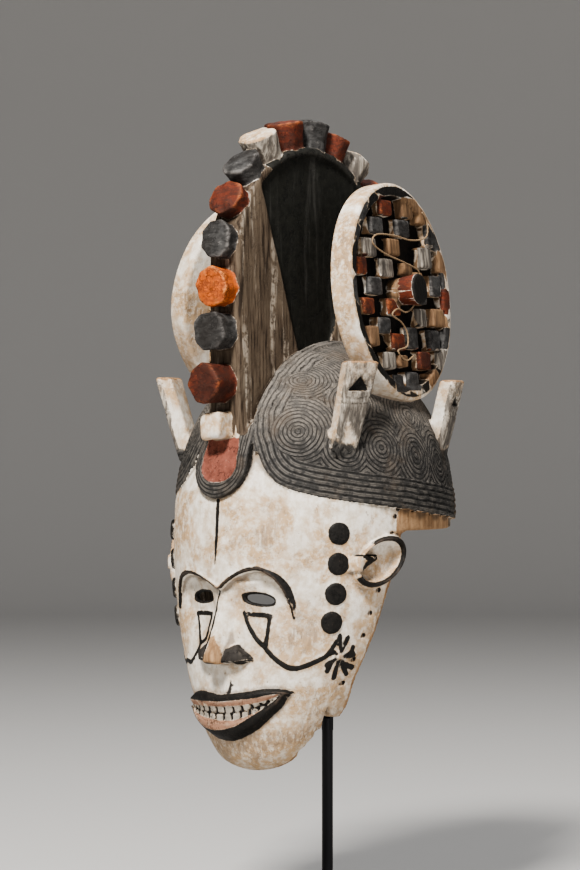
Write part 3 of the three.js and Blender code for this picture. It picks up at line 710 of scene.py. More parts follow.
@dataclass(frozen=True)
class SideDisc:
    """A round tray of chequered blocks, with a boss in the middle."""

    x: float = 65.2
    y: float = 23.0
    z: float = 478.0
    radius: float = 83.0
    thick: float = 18.0
    turn: float = 11.0
    lean: float = 6.0
    tray: float = 73.0
    depth: float = 11.0
    boss_length: float = 15.5
    reach: Box = ((20, -66, 392), (108, 112, 564))
    # place across towards the face, place up, half width, half height and colour letter of each block
    blocks: tuple[tuple[float, float, float, float, str], ...] = (
        (52, 61, 6, 8, "K"), (13, 63.5, 10.5, 6.5, "R"), (-25, 64, 10, 7, "T"), (-47, 61, 8, 7, "T"),
        (68, 46, 6, 9, "K"), (31, 49, 10.5, 6.8, "K"), (-12, 49, 11, 7.2, "K"), (-61, 44, 9.5, 8, "K"),
        (43, 32, 11, 7.5, "W"), (3, 34, 10.5, 7, "T"), (-48, 28, 10, 8.5, "W"), (-74, 25, 6, 8, "T"),
        (59, 17.5, 8.5, 7.2, "R"), (18, 17.5, 11, 7.5, "W"), (-15, 18, 8, 5, "T"), (-35, 12, 6, 5, "T"),
        (41, 3, 11, 7.2, "K"), (-63, 7, 10, 8.5, "K"), (76, -2, 4, 9, "K"), (-36, -2, 6, 7, "K"),
        (55, -12.5, 9.5, 6.5, "R"), (12.5, -12, 11.5, 6.8, "R"), (-31, -19, 8, 7.5, "W"), (-60, -18, 10.5, 7.5, "T"),
        (-76, -5, 6, 8, "R"), (31, -26.5, 10.5, 6.5, "K"), (-13, -35, 10, 8.8, "K"), (-48, -36, 10, 8.5, "K"),
        (-70, -34, 8, 6.5, "K"), (51, -35, 8, 8, "T"), (10.5, -38.5, 11, 7, "R"), (-29, -52, 10, 7.5, "R"),
        (-58, -51, 8, 6.5, "W"), (28, -53, 8.5, 7, "W"), (6, -53, 7, 5, "T"), (-6, -67, 10, 6.5, "K"),
        (16, -69, 8, 6, "K"), (-40, -66, 7.5, 5, "T"),
    )  # fmt: skip

    def local(self, x: Array, y: Array, z: Array) -> tuple[Array, Array, Array]:
        """Places across towards the face, outwards and up from the disc's centre."""
        c, s = cos_sin(self.turn)
        dx, dy, dz = x - self.x, y - self.y, z - self.z
        out = dx * c + dy * s
        c2, s2 = cos_sin(self.lean)
        return dx * s - dy * c, out * c2 + dz * s2, dz * c2 - out * s2

    def place(self, across: float, out: float, up: float) -> Array:
        """The point at a place across towards the face, outwards and up from the disc's centre."""
        c, s = cos_sin(self.turn)
        c2, s2 = cos_sin(self.lean)
        level = out * c2 - up * s2
        return np.array([self.x + level * c + across * s, self.y + level * s - across * c, self.z + out * s2 + up * c2])

    def distance(self, x: Array, y: Array, z: Array) -> Array:
        a, h, u = self.local(x, y, z)
        r = np.sqrt(a * a + u * u)
        outer = self.thick / 2
        d = smooth_max(r - self.radius + 0.5 * ripple(a, h * 0, u, 60.0, 2.0), np.abs(h) - outer, 3.0)
        tray = smooth_max(r - self.tray, outer - self.depth - h, 1.0)
        d = smooth_max(d, -tray, 1.0)
        for across, up, half, tall, _ in self.blocks:
            share = np.clip((h - outer + self.depth) / self.depth, -0.3, 1.1)
            slant = share * 0.6 * math.sin(across + 2 * up)
            side = np.abs(a - across - slant) - half + 1.1 * share
            block = smooth_max(side, np.abs(u - up) - tall + 0.6 * share, 1.2)
            top = outer - 0.9 + 0.7 * math.sin(5.1 * up + 2.3 * across) + 0.012 * (a - across) * math.sin(up)
            block = smooth_max(block, h - top, 1.4)
            block = np.maximum(block, np.maximum(outer - self.depth - 3.0 - h, r - self.radius + 1.0))
            d = np.minimum(d, block)
        boss_r = np.interp(h, [outer - self.depth, outer + self.boss_length], [9.5, 12.0])
        boss = smooth_max(r - boss_r, h - outer - self.boss_length, 2.0)
        boss = np.maximum(boss, outer - self.depth - 3.0 - h)
        return np.minimum(d, boss)


@dataclass(frozen=True)
class Tuft:
    """A flared hair tuft beside a disc.

    Args:
        foot: middle of its lower end.
        head: middle of its upper end.
        way: -1 at the front, 1 at the back.
    """

    foot: Point
    head: Point
    way: int
    turn: float = 21.0
    wide: float = 26.0
    thick: float = 14.5

    @property
    def reach(self) -> Box:
        low, high = np.minimum(self.foot, self.head), np.maximum(self.foot, self.head)
        return (tuple(low - np.array([18, 20, 6])), tuple(high + np.array([18, 20, 6])))

    def local(self, x: Array, y: Array, z: Array) -> tuple[Array, Array, Array]:
        """Share of the height, place across and place outwards."""
        share = (z - self.foot[2]) / (self.head[2] - self.foot[2])
        cx = self.foot[0] + (self.head[0] - self.foot[0]) * share
        cy = self.foot[1] + (self.head[1] - self.foot[1]) * share
        c, s = cos_sin(self.turn)
        s = self.way * s
        dx, dy = x - cx, y - cy
        return share, -dx * s + dy * c, dx * c + dy * s

    def notch(self, share: Array, across: Array) -> Array:
        """Distance to the triangle sunk near the top of the outer face."""
        up = (share - 0.74) * (self.head[2] - self.foot[2])
        return np.maximum(-3.0 - up, (up - 8.0) * 0.62 + np.abs(across) * 0.78)

    def distance(self, x: Array, y: Array, z: Array) -> Array:
        share, across, out = self.local(x, y, z)
        wide = self.wide * np.interp(share, [0, 0.45, 1.0], [0.72, 0.82, 1.0]) / 2
        thick = self.thick * np.interp(share, [0, 0.5, 1.0], [0.95, 1.0, 0.92]) / 2
        d = smooth_max(np.abs(across) - wide, np.abs(out) - thick, 2.2)
        up = share * (self.head[2] - self.foot[2])
        sunk = 3.2 * smoothstep(0.9, -0.6, self.notch(share, across))
        for line in (0.56, 0.61):
            sunk = sunk + 0.7 * smoothstep(0.018, 0.006, np.abs(share - line))
        hatch = np.abs(((up + 1.1 * np.abs(across)) / 2.6) % 1.0 - 0.5)
        sunk = sunk + 0.5 * smoothstep(0.24, 0.1, hatch) * (share > 0.63) * (self.notch(share, across) > 1.2)
        d = smooth_max(d + sunk * (out > 0), z - self.head[2] - 0.6, 2.5)
        return np.maximum(d, self.foot[2] - z)


@dataclass(frozen=True)
class Ear:
    """A scooped ear that opens outwards and forwards and flares towards its top."""

    centre: Point = (92.5, -28.0, 276.5)
    radii: Point = (16.5, 22.5, 20.0)
    flare: float = 0.17
    reach: Box = ((68, -64, 242), (116, 14, 304))

    def upright(self, x: Array, y: Array, z: Array) -> tuple[Array, Array, Array]:
        """Places with the flare taken out."""
        rise = z - self.centre[2]
        return x - self.flare * rise, y - 0.38 * rise, z

    def scoop(self, x: Array, y: Array, z: Array) -> Array:
        cx, cy, cz = self.centre
        rx, ry, rz = self.radii
        x, y, z = self.upright(x, y, z)
        return ellipsoid(x, y, z, (cx + 10.0, cy - 4.5, cz + 0.5), (rx + 1.0, ry - 2.6, rz - 3.9))

    def outer(self, x: Array, y: Array, z: Array) -> Array:
        x, y, z = self.upright(x, y, z)
        return ellipsoid(x, y, z, self.centre, self.radii)

    def tragus(self, x: Array, y: Array, z: Array) -> Array:
        """A wedge that points back into the scoop."""
        along = y + 51.0
        half = np.interp(along, [0, 20], [5.5, 1.2])
        d = np.maximum(np.abs(z - self.centre[2] + 1.0 - 0.2 * along) - half, x - 95.5 + 0.08 * along)
        return np.maximum(np.maximum(d, along - 20.0), -along - 3.0)

    def distance(self, x: Array, y: Array, z: Array) -> Array:
        d = smooth_max(self.outer(x, y, z), -self.scoop(x, y, z), 1.2)
        return np.minimum(d, self.tragus(x, y, z))


@dataclass(frozen=True)
class TempleDots:
    """Four low round bosses on the temple."""

    face: Face
    heights: tuple[float, ...] = (297.7, 275.4, 253.4, 232.2)
    places: tuple[float, ...] = (-59.7, -60.0, -60.6, -61.6)
    radius: float = 8.2
    rise: float = 1.6
    reach: Box = ((60, -72, 220), (100, -42, 310))

    def centres(self) -> list[Array]:
        out = []
        for z, y in zip(self.heights, self.places):
            front, half, back = (float(v) for v in self.face.section(np.array(z)))
            out.append(np.array([half * math.sqrt(1 - ((y - back) / (back - front)) ** 2), y, z]))
        return out

    def round(self, x: Array, y: Array, z: Array) -> Array:
        """Distance to the nearest dot's ball."""
        d = 1e3
        for c in self.centres():
            d = np.minimum(d, np.sqrt((x - c[0]) ** 2 + (y - c[1]) ** 2 + (z - c[2]) ** 2) - self.radius)
        return d

    def distance(self, x: Array, y: Array, z: Array) -> Array:
        return smooth_max(self.face.plain(x, y, z) - self.rise, self.round(x, y, z), 1.2)


@dataclass(frozen=True)
class Hollow:
    """The space for the wearer's head, open below and behind."""

    face: Face
    cap: Cap
    wall: float = 14.0
    face_wall: float = 12.0
    reach: Box = ((0, -100, 90), (95, 135, 440))

    def distance(self, x: Array, y: Array, z: Array) -> Array:
        rx, ry, rz = self.cap.radii
        radii = (rx - self.wall, ry - self.wall, rz - self.wall - 2)
        dome = ellipsoid(x, y, np.maximum(z, self.cap.centre[2]), self.cap.centre, radii)
        dome = np.where((z < self.cap.centre[2]) & ((y < -30) | (z < self.cap.rim - 6)), 30.0, dome)
        column = self.face.plain(x, y, z, self.face_wall, 90.0)
        column = np.maximum(column, z - 345.0)
        column = smooth_max(column, np.interp(y, [-90, -60, -20], [124, 116, 60]) - z, 8.0)
        rough = 0.6 * ripple(x, y, z, 22.0, 5.0)
        return smooth_min(dome, column, 6.0) + rough


@dataclass(frozen=True)
class EyeSlit:
    """The opening of an eye."""

    x: float = 29.0
    z: float = 248.9
    half: float = 11.3
    tall: float = 3.6
    reach: Box = ((8, -118, 236), (46, -60, 262))

    def flat(self, x: Array, z: Array) -> Array:
        px, pz = (x - self.x) / self.half, (z - self.z + 0.09 * (x - self.x)) / self.tall
        k = np.sqrt(px * px + pz * pz) + 1e-6
        g = np.sqrt((px / self.half) ** 2 + (pz / self.tall) ** 2) + 1e-9
        return k * (k - 1) / g

    def distance(self, x: Array, y: Array, z: Array) -> Array:
        return self.flat(x, z) + 0.0 * y


@dataclass(frozen=True)
class Drilled:
    """A small hole drilled through the rim."""

    at: Point
    way: Point
    radius: float = 1.6

    @property
    def reach(self) -> Box:
        a = np.array(self.at)
        return (tuple(a - 16.0), tuple(a + 16.0))

    def distance(self, x: Array, y: Array, z: Array) -> Array:
        w = np.array(self.way, float)
        w /= np.linalg.norm(w)
        dx, dy, dz = x - self.at[0], y - self.at[1], z - self.at[2]
        t = dx * w[0] + dy * w[1] + dz * w[2]
        r = np.sqrt(np.maximum(dx**2 + dy**2 + dz**2 - t**2, 0.0))
        return np.maximum(r - self.radius, np.abs(t) - 14.0)


@dataclass(frozen=True)
class JawChip:
    """Wood broken off the rear edge of the jaw, as an outline of y and height, from an x outwards."""

    outline: Line = (
        (-20, 160.3), (-36, 160.0), (-42.5, 161), (-45, 165.5), (-48.5, 169), (-50.3, 168), (-49.3, 164), (-49, 157),
        (-48, 152), (-52.2, 149.6), (-51.2, 146), (-53, 142), (-56, 134), (-60, 110), (-20, 110),
    )  # fmt: skip
    reach: Box = ((34, -62, 112), (80, -20, 172))

    def distance(self, x: Array, y: Array, z: Array) -> Array:
        py, pz = (v.ravel() for v in np.broadcast_arrays(y[0], z[0]))
        away, _ = to_polyline(np.stack([py, pz], 1), np.array([*self.outline, self.outline[0]]))
        odd = np.zeros(len(py), bool)
        for (ya, za), (yb, zb) in zip(self.outline, (*self.outline[1:], self.outline[0])):
            crosses = (za > pz) != (zb > pz)
            odd ^= crosses & (py < (yb - ya) * (pz - za) / (zb - za if zb != za else 1e-9) + ya)
        shape = np.broadcast_shapes(y[0].shape, z[0].shape)
        signed = np.where(odd, -away, away).reshape(shape)[None]
        return np.maximum(signed + 0.35 * ripple(x, y, z, 7.0, 2.0), 36.0 - x)


FAR_BROW = (
    (0, 257), (4.4, 259.4), (11.8, 262.9), (19, 265.6), (28.5, 267), (36, 266.9), (43, 264.6), (47.5, 261.3),
    (51.8, 255.5), (54.5, 249.5), (57, 240),
)  # fmt: skip


@dataclass(frozen=True)
class Stroke:
    """A painted line on the face.

    Args:
        knots: signed x and height along it.
        halves: half its breadth at its start, middle and end.
        rise: how far it stands off the face.
        pigment: its paint.
    """

    knots: Line
    halves: Point = (1.3, 1.6, 1.3)
    rise: float = 0.7
    pigment: Pigment = Pigment.BLACK

    def on(self, wood: WoodBlock) -> Array:
        """The line laid on the wood."""
        curve = spline(self.knots, 5) if len(self.knots) > 2 else np.linspace(*np.array(self.knots, float), 6)
        return np.stack([curve[:, 0], wood.front(curve[:, 0], curve[:, 1]), curve[:, 1]], 1)

    def inside(self, points: Array, line: Array) -> Array:
        """Signed distance to the stroke's edge at points, above 0 within."""
        out = np.full(len(points), -FAR)
        close = ((points > line.min(0) - 8.0) & (points < line.max(0) + 8.0)).all(1)
        away, share = to_polyline(points[close], line)
        out[close] = np.interp(share, [0, 0.5, 1], self.halves) - away
        return out


def mirrored(knots: Line) -> Line:
    """The same line on the other side."""
    return tuple((-x, z) for x, z in knots)


def face_strokes() -> list[Stroke]:
    """Every line painted on the face."""
    cheek = ((48, 200.3), (53, 198.4), (59.1, 200.3), (66.2, 204.6), (70.8, 209.1), (75.5, 219))
    hub = (74.7, 207.6)
    flower = (
        (hub, (75.9, 212), (76.3, 216.5), (76.8, 222)),
        (hub, (76.6, 212.5), (77.8, 216), (79.3, 220.8)),
        (hub, (76.8, 208), (78.4, 209.6), (79.5, 213.5)),
        (hub, (76.8, 206.6), (78.6, 207.7)),
        (hub, (74.8, 203), (75.8, 198.2)),
        (hub, (74.3, 203), (74.0, 199), (73.4, 193.6)),
        (hub, (73.4, 203), (71.5, 197.6), (69.4, 191.2)),
        (hub, (72.4, 204.8), (70.6, 203), (68.8, 200.8)),
        (hub, (72.4, 204.6), (70.2, 201), (68.2, 196.4)),
        (hub, (73.2, 209.8), (71.4, 209.6)),
    )
    strokes = [
        Stroke(((1.5, 322), (1.9, 300), (1.2, 285), (-0.5, 273.5)), (1.7, 1.5, 0.4), 0.2),
        Stroke(Face.brow, (1.2, 2.0, 1.4), 0.5),
        Stroke(
            ((33, 271.8), (41, 270), (48, 265.5), (52.5, 259.3), (55.6, 252), (57.4, 244.4), (57.9, 239)),
            (1.5, 3.0, 0.5), 0.6,
        ),  # fmt: skip
        Stroke(mirrored(FAR_BROW), (1.2, 2.1, 1.7), 0.5),
        Stroke(((16.8, 238.4), (25.1, 237.4), (32.6, 237.2), (37.8, 236.2)), (1.6, 2.0, 2.1), 0.5),
        Stroke(((16.9, 239), (20.8, 230.6), (26.9, 221.2), (34.2, 214.1), (42, 205.4), *cheek), (1.6, 2.2, 1.9)),
        Stroke(((37, 235.4), (36.4, 226.6), (35.5, 217), (35.8, 213)), (1.9, 1.8, 2.0)),
        Stroke(((-33.4, 236.4), (-22, 237), (-12, 236.8)), (1.9, 1.9, 1.5), 0.5),
        Stroke(((-32.4, 236), (-29, 227.7), (-26.9, 220.4), (-24.4, 214)), (1.6, 1.7, 2.1)),
        Stroke(
            ((-12, 237.5), (-16.9, 219.5), (-23.3, 214.7), (-30.2, 206.7), (-39, 199.6), *mirrored(cheek)),
            (1.5, 2.0, 1.9),
        ),
        Stroke(((11.6, 189.4), (7.5, 184), (2.4, 177.6)), (1.0, 2.2, 2.6), 0.0, Pigment.GREY),
        Stroke(((0.0, 257), (-1.4, 250), (-1.7, 240), (-1.9, 230), (-3.2, 216), (-4.6, 206)), (1.0, 1.0, 1.4), 0.0),
        Stroke(((-13.5, 203.6), (-10, 201.6), (-4, 201.6), (4, 201.8)), (1.5, 1.7, 0.6), 0.0),
        Stroke(((7.6, 202.6), (16, 202.6), (27.2, 204.4)), (0.9, 0.9, 0.9), 0.0),
    ]
    for knots in flower:
        strokes.append(Stroke(knots, (1.5, 1.7, 2.3), 0.5))
        strokes.append(Stroke(mirrored(knots), (1.5, 1.7, 2.3), 0.5))
    return strokes


@dataclass
class Paint:
    """Signed distances to each painted area at points of the surface, above 0 within."""

    points: Array
    areas: dict[Pigment, Array] = field(default_factory=dict)

    def __post_init__(self) -> None:
        self.areas = {p: np.full(len(self.points), -FAR) for p in Pigment if p is not Pigment.WHITE}

    def places(self) -> tuple[Array, Array, Array, Array]:
        """Signed x, distance from the middle plane, y and height of each point."""
        signed, y, z = self.points.T
        return signed, np.abs(signed), y, z

    def put(self, pigment: Pigment, *parts: Array | float) -> None:
        """Paints over the area common to its parts, each above 0 where the brush went."""
        inside = all_of(*parts)
        for other, area in self.areas.items():
            if other is pigment:
                np.maximum(area, inside, out=area)
            else:
                np.minimum(area, -inside, out=area)


def all_of(*parts: Array | float) -> Array:
    """The area common to several areas."""
    out = parts[0]
    for part in parts[1:]:
        out = np.minimum(out, part)
    return out


def convex(x: Array, z: Array, corners: Line) -> Array:
    """Signed distance within a convex outline whose corners run anticlockwise."""
    out = np.full(len(x), FAR)
    for (xa, za), (xb, zb) in zip(corners, (*corners[1:], corners[0])):
        long = math.hypot(xb - xa, zb - za)
        out = np.minimum(out, ((xb - xa) * (z - za) - (zb - za) * (x - xa)) / long)
    return out


# ---------------------------------------------------------------- whole carving


@dataclass
class Carving:
    """The mask as one carved body."""

    step: float = 1.25
    most_triangles: int = 196_000
    face: Face = field(default_factory=Face)
    cap: Cap = field(default_factory=Cap)
    crest: Crest = field(default_factory=Crest)
    disc: SideDisc = field(default_factory=SideDisc)
    ear: Ear = field(default_factory=Ear)
    far_ear: Ear = field(default_factory=lambda: Ear((93.0, -30.0, 273.5), (17.0, 23.5, 25.0), 0.34))
    slit: EyeSlit = field(default_factory=EyeSlit)
    far_slit: EyeSlit = field(default_factory=lambda: EyeSlit(x=23.5, z=249.5, half=12.0))
    far_disc: SideDisc = field(default_factory=lambda: SideDisc(z=475.0, lean=8.0))
    front_pegs: tuple[tuple[float, float, Pigment], ...] = (
        (408.5, 24.0, Pigment.BRICK),
        (447.0, 18.0, Pigment.COAL),
        (480.0, 15.5, Pigment.ORANGE),
    )

    def __post_init__(self) -> None:
        self.hair = Hair(self.cap)
        self.lappet = Lappet(self.cap)
        self.hollow = Hollow(self.face, self.cap)
        self.far_face = Face(side=-1.0, brow=FAR_BROW)
        self.tufts = [
            Tuft((73.0, -49.0, 354.0), (92.0, -49.0, 424.0), -1),
            Tuft((72.0, 66.0, 350.0), (90.0, 66.0, 411.5), 1),
            Tuft((73.0, -51.0, 350.0), (95.0, -53.0, 414.0), -1),
            Tuft((72.0, 66.0, 350.0), (91.0, 66.0, 414.0), 1),
        ]
        self.block_peg = BlockPeg()
        self.pegs = self._pegs()
        self.dots = TempleDots(self.face)
        self.far_dots = TempleDots(self.far_face, places=(-64.0, -64.0, -64.5, -65.0), rise=3.4)
        self.holes = [
            Drilled(at, (1.0, 0.5, 0.0))
            for at in (
                (96.3, -16, 296.8), (90.5, -25, 255.3), (87.4, -31, 238.3), (83.1, -34, 221.8), (77.9, -39, 204.2),
                (70.8, -43, 186.5), (40.0, -54, 134.9), (97.3, -10.5, 315.5), (97, -13.5, 309.7), (101.7, 8, 314.2),
                (100.1, 29, 311.5), (97.0, 48, 310.3),
            )
        ]  # fmt: skip
        self.strokes = face_strokes()
        self.lines: list[Array] = []

    def _pegs(self) -> list[Peg]:
        c = self.crest
        back = ((408.5, 20.0, Pigment.COAL), (447.5, 20.0, Pigment.WHITE), (483.0, 20.0, Pigment.BRICK))
        arc = (
            (8.5, 11.5, Pigment.COAL), (28.3, 11.0, Pigment.BRICK), (47.0, 14.0, Pigment.COAL),
            (62.5, 20.0, Pigment.WHITE), (80.0, 21.0, Pigment.BRICK), (96.7, 22.0, Pigment.COAL),
            (111.5, 18.5, Pigment.BRICK), (128.5, 18.5, Pigment.WHITE), (146.0, 19.0, Pigment.BRICK),
            (165.0, 19.0, Pigment.COAL),
        )  # fmt: skip
        out = []
        edges = ((self.front_pegs, -c.radius, 0.0, 12.6, 14.8, 0.2), (back, c.radius, 180.0, 12.5, 15.0, 0.0))
        for rows, away, degrees, root, tip, turn in edges:
            for i, (z, long, pigment) in enumerate(rows):
                out.append(Peg(c.y + away, z, degrees, long, root, tip, turn + 0.5 * i, pigment))
        for i, (degrees, long, pigment) in enumerate(arc):
            a = math.radians(degrees)
            y, z = c.y - math.cos(a) * c.radius, c.z + math.sin(a) * c.radius
            out.append(Peg(y, z, degrees, long, 12.0, 14.6, 0.37 * i, pigment))
        return out

    def half(self, face: Face, ear: Ear, tufts: Sequence[Tuft]) -> WoodBlock:
        """One side of the mask, from the middle plane outwards."""
        wood = WoodBlock(self.step, (0.0, -128.0, 112.0), (114.0, 132.0, 618.0))
        near = face.side > 0
        dots, disc = (self.dots, self.disc) if near else (self.far_dots, self.far_disc)
        shapes = (
            (face, 0.0), (self.cap, 5.0), (Nose(face), 1.6), (self.hair, 0.8), (self.lappet, 0.8), (ear, 2.0),
            (dots, 0.6), (self.crest, 2.0), (disc, 2.0), *((tuft, 1.6) for tuft in tufts),
        )  # fmt: skip
        for shape, blend in shapes:
            wood.add(shape, blend)
        wood.remove(self.hollow, 2.0)
        wood.remove(self.slit if near else self.far_slit, 1.2)
        if near:
            wood.remove(JawChip(), 0.8)
        for hole in self.holes:
            wood.remove(hole, 0.4)
        return wood

    def carve(self) -> WoodBlock:
        """Carves both sides and adds what crosses the middle."""
        wood = self.half(self.face, self.ear, self.tufts[:2])
        wood.join_mirrored(self.half(self.far_face, self.far_ear, self.tufts[2:]))
        wood.add(self.block_peg, 1.2)
        for peg in self.pegs:
            wood.add(peg, 1.2)
        self.lines = [stroke.on(wood) for stroke in self.strokes]
        for stroke, line in zip(self.strokes, self.lines):
            if stroke.rise > 0:
                wood.emboss(line, max(stroke.halves), stroke.rise)
        return wood

    def paint(self, points: Array) -> Paint:
        """Lays each pigment over the points in the order in which it was painted."""
        paint = Paint(points)
        for step in (self._bare_wood, self._crest_paint, self._hair_paint, self._face_paint, self._mouth_paint,
                     self._peg_paint, self._disc_paint, self._tuft_paint, self._ear_paint,
                     self._inside_paint):  # fmt: skip
            step(paint)
        return paint

    def _bare_wood(self, paint: Paint) -> None:
        signed, x, y, z = paint.places()
        uneven = ripple(signed, y, z, 17.0, 6.0)
        paint.put(Pigment.WORN, 2.5 - np.abs(self.hollow.distance(x, y, z)))
        _, half, back = self.face.section(z)
        paint.put(Pigment.WOOD, y - back + 3.0 + 1.3 * uneven, 299.0 - z, half + 1.5 - x)
        paint.put(Pigment.WOOD, y + 13.0 + 1.5 * uneven, 330.0 - z, z - 296.0, y + 60.0)
        for side, area in ((self.dots, signed), (self.far_dots, -signed)):
            paint.put(Pigment.BLACK, 0.3 - side.round(x, y, z), area)
        for hole in self.holes:
            away = np.linalg.norm(np.stack([x, y, z], 1) - np.array(hole.at), axis=1)
            # Painted shade in and round each drilled hole.
            paint.put(Pigment.DARK, hole.radius + 0.5 - away)

    def _inside_paint(self, paint: Paint) -> None:
        x, y, z = paint.points.T
        slits = np.minimum(self.slit.flat(np.abs(x), z), self.far_slit.flat(np.abs(x), z))
        paint.put(Pigment.WORN, 1.6 - np.abs(self.hollow.distance(np.abs(x), y, z)), slits - 1.0)

    def _crest_paint(self, paint: Paint) -> None:
        signed, x, y, z = paint.places()
        crest = self.crest
        body = all_of(5.0 - np.abs(crest.distance(x, y, z)), z - 380.0)
        uneven = ripple(signed, y, z, 21.0, 3.0)
        paint.put(Pigment.WORN, body)
        paint.put(Pigment.WORN, 15.5 - x, z - 397.0)
        paint.put(Pigment.WORN, 16.5 - x, y - 50.0, z - 322.0, 4.5 - np.abs(crest.distance(x, y, z)))
        paint.put(Pigment.PANEL, body, z - 538.0 + 6.0 * uneven + 0.9 * (y + 20.0), x - 9.0)
        # A white stripe just behind the crest's front corner: a painted highlight.
        edge = -91.5 + 1.6 * uneven
        paint.put(Pigment.WHITE, body, edge + 2.6 - np.abs(y - edge) - 2.0 * np.abs(uneven), x - 11.0, 520.0 - z)
        paint.put(Pigment.PANEL, body + 2.0, -crest.panel(y, z) + 0.8 * uneven, x - 8.0)

    def _hair_paint(self, paint: Paint) -> None:
        _, x, y, z = paint.places()
        skin = ellipsoid(x, y, np.maximum(z, self.cap.centre[2]), self.cap.centre, self.cap.radii)
        near = np.abs(skin) < 7.0
        depth, edge, coil, among = (np.full(len(x), v) for v in (-FAR, 0.0, 0.0, -FAR))
        where = np.stack([x, y, z], 1)[near]
        depth[near], edge[near], coil[near], among[near] = self.hair.runs(where)
        paint.put(Pigment.HAIR, depth + 0.4, 6.0 - np.abs(skin))
        lappet = self.lappet
        round_it = all_of(lappet.top + 3.0 - z, -60.0 - y, 9.0 - np.abs(skin))
        tongue = all_of(lappet.depth(x, z) + 0.4, round_it)
        paint.put(Pigment.HAIR, tongue)
        paint.put(Pigment.RED, 2.5 * (lappet.run(x, z) - lappet.ridges) + 0.4, round_it, lappet.top - 9.5 - z)
        paint.put(Pigment.WORN, z - lappet.top + 8.0, 19.0 - x, -80.0 - y, 398.0 - z)
        on_tongue = tongue > 0
        self.edge_run = np.where(on_tongue, lappet.run(x, z), edge)
        self.coil_run = coil
        self.among = np.where(on_tongue, -FAR, among)

    def _face_paint(self, paint: Paint) -> None:
        signed, x, y, z = paint.places()
        ahead = -60.0 - y
        for slit, side in ((self.slit, signed), (self.far_slit, -signed)):
            paint.put(Pigment.BLACK, 1.9 - slit.flat(x, z), ahead, side)
        on_nose = all_of(-93.0 - y, z - 198.5)
        tan = ((-15, 200), (8, 200), (8, 208), (2, 223), (-15, 222.6))
        paint.put(Pigment.WOOD, convex(signed, z, tan), -99.0 - y)
        wing = ((13.9, 200.6), (27, 203.4), (26.3, 205.6), (15.2, 215.6), (8.3, 211.6), (7.8, 203))
        paint.put(Pigment.GREY, convex(x, z, wing) + 0.4, on_nose)
        for stroke, line in zip(self.strokes, self.lines):
            paint.put(stroke.pigment, stroke.inside(paint.points, line))

    def _mouth_paint(self, paint: Paint) -> None:
        x, y, z = paint.points.T
        mouth = self.face.mouth
        width = all_of(x + 48.6, 51.0 - x, -70.0 - y)
        names = ("lip_top", "band_low", "inner_top", "inner_low", "pink_low", "lip_low")
        line = {name: mouth.at(getattr(mouth, name), x) for name in names}
        paint.put(Pigment.PINK, line["band_low"] + 0.8 - z, z - line["pink_low"] + 0.8, width)
        paint.put(Pigment.BLACK, line["lip_top"] + 0.9 - z, z - line["band_low"] + 0.3, width)
        paint.put(Pigment.BLACK, line["pink_low"] + 2.2 - z, z - line["lip_low"] + 1.2, width)
        teeth = all_of(line["inner_top"] - z, z - line["inner_low"], width)
        paint.put(Pigment.TOOTH, teeth)
        gap = mouth.gap(x, z)
        middle = (line["inner_top"] + line["inner_low"]) / 2
        paint.put(Pigment.BLACK, teeth, 1.05 - gap)
        paint.put(Pigment.BLACK, teeth, 0.75 - np.abs(z - middle), 2.6 - gap)

    def _peg_paint(self, paint: Paint) -> None:
        x, y, z = paint.points.T
        for peg in self.pegs:
            near = 1.0 - peg.distance(x, y, z)
            paint.put(peg.pigment, near)
            if peg.pigment is Pigment.WHITE:
                paint.put(Pigment.ASH, near, peg.length - 2.0 - peg.along(y, z))
        paint.put(Pigment.WHITE, 1.2 - self.block_peg.distance(x, y, z))

    def _disc_paint(self, paint: Paint) -> None:
        signed, x, y, z = paint.places()
        letters = {"K": Pigment.COAL, "W": Pigment.ASH, "T": Pigment.TAN, "R": Pigment.BRICK}
        for disc, side in ((self.disc, signed), (self.far_disc, -signed)):
            a, h, u = disc.local(x, y, z)
            r = np.hypot(a, u)
            outer = disc.thick / 2
            uneven = ripple(a, h, u, 19.0, 4.0)
            paint.put(Pigment.WHITE, disc.radius + 0.8 - r, outer + 0.8 - np.abs(h), side)
            inner = all_of(disc.radius + 0.8 - r, 2.0 - outer - h, h + outer + 2.0, side)
            paint.put(Pigment.WORN, inner, disc.radius - 13.0 - r + 4.0 * uneven)
            paint.put(Pigment.BLACK, h - outer + 1.6, r - disc.tray + 1.5, disc.radius - 2.8 - r + 0.8 * uneven, side)
            inside = all_of(disc.tray + 0.4 - r, h + 4.5, side)
            # Painted shade over the tray's floor and walls, showing between the blocks.
            paint.put(Pigment.DARK, inside)
            rise = outer - disc.depth
            for across, up, half, tall, letter in disc.blocks:
                shape = all_of(half + 0.9 - np.abs(a - across), tall + 0.9 - np.abs(u - up))
                shape = all_of(shape, disc.radius - 2.5 - r, side)
                paint.put(Pigment.TAN, shape, h - rise - 3.0 - 2.0 * uneven)
                top = all_of(shape + 1.2, h - outer + 4.0 + 1.2 * uneven, disc.radius - 2.5 - r)
                paint.put(letters[letter], top)
            boss = all_of(14.0 - r, h - rise - 1.5, side)
            paint.put(Pigment.TAN, boss)
            paint.put(Pigment.BRICK, boss, h - outer - 0.5 + uneven)
            paint.put(Pigment.BLACK, boss, h - outer - disc.boss_length + 2.0)

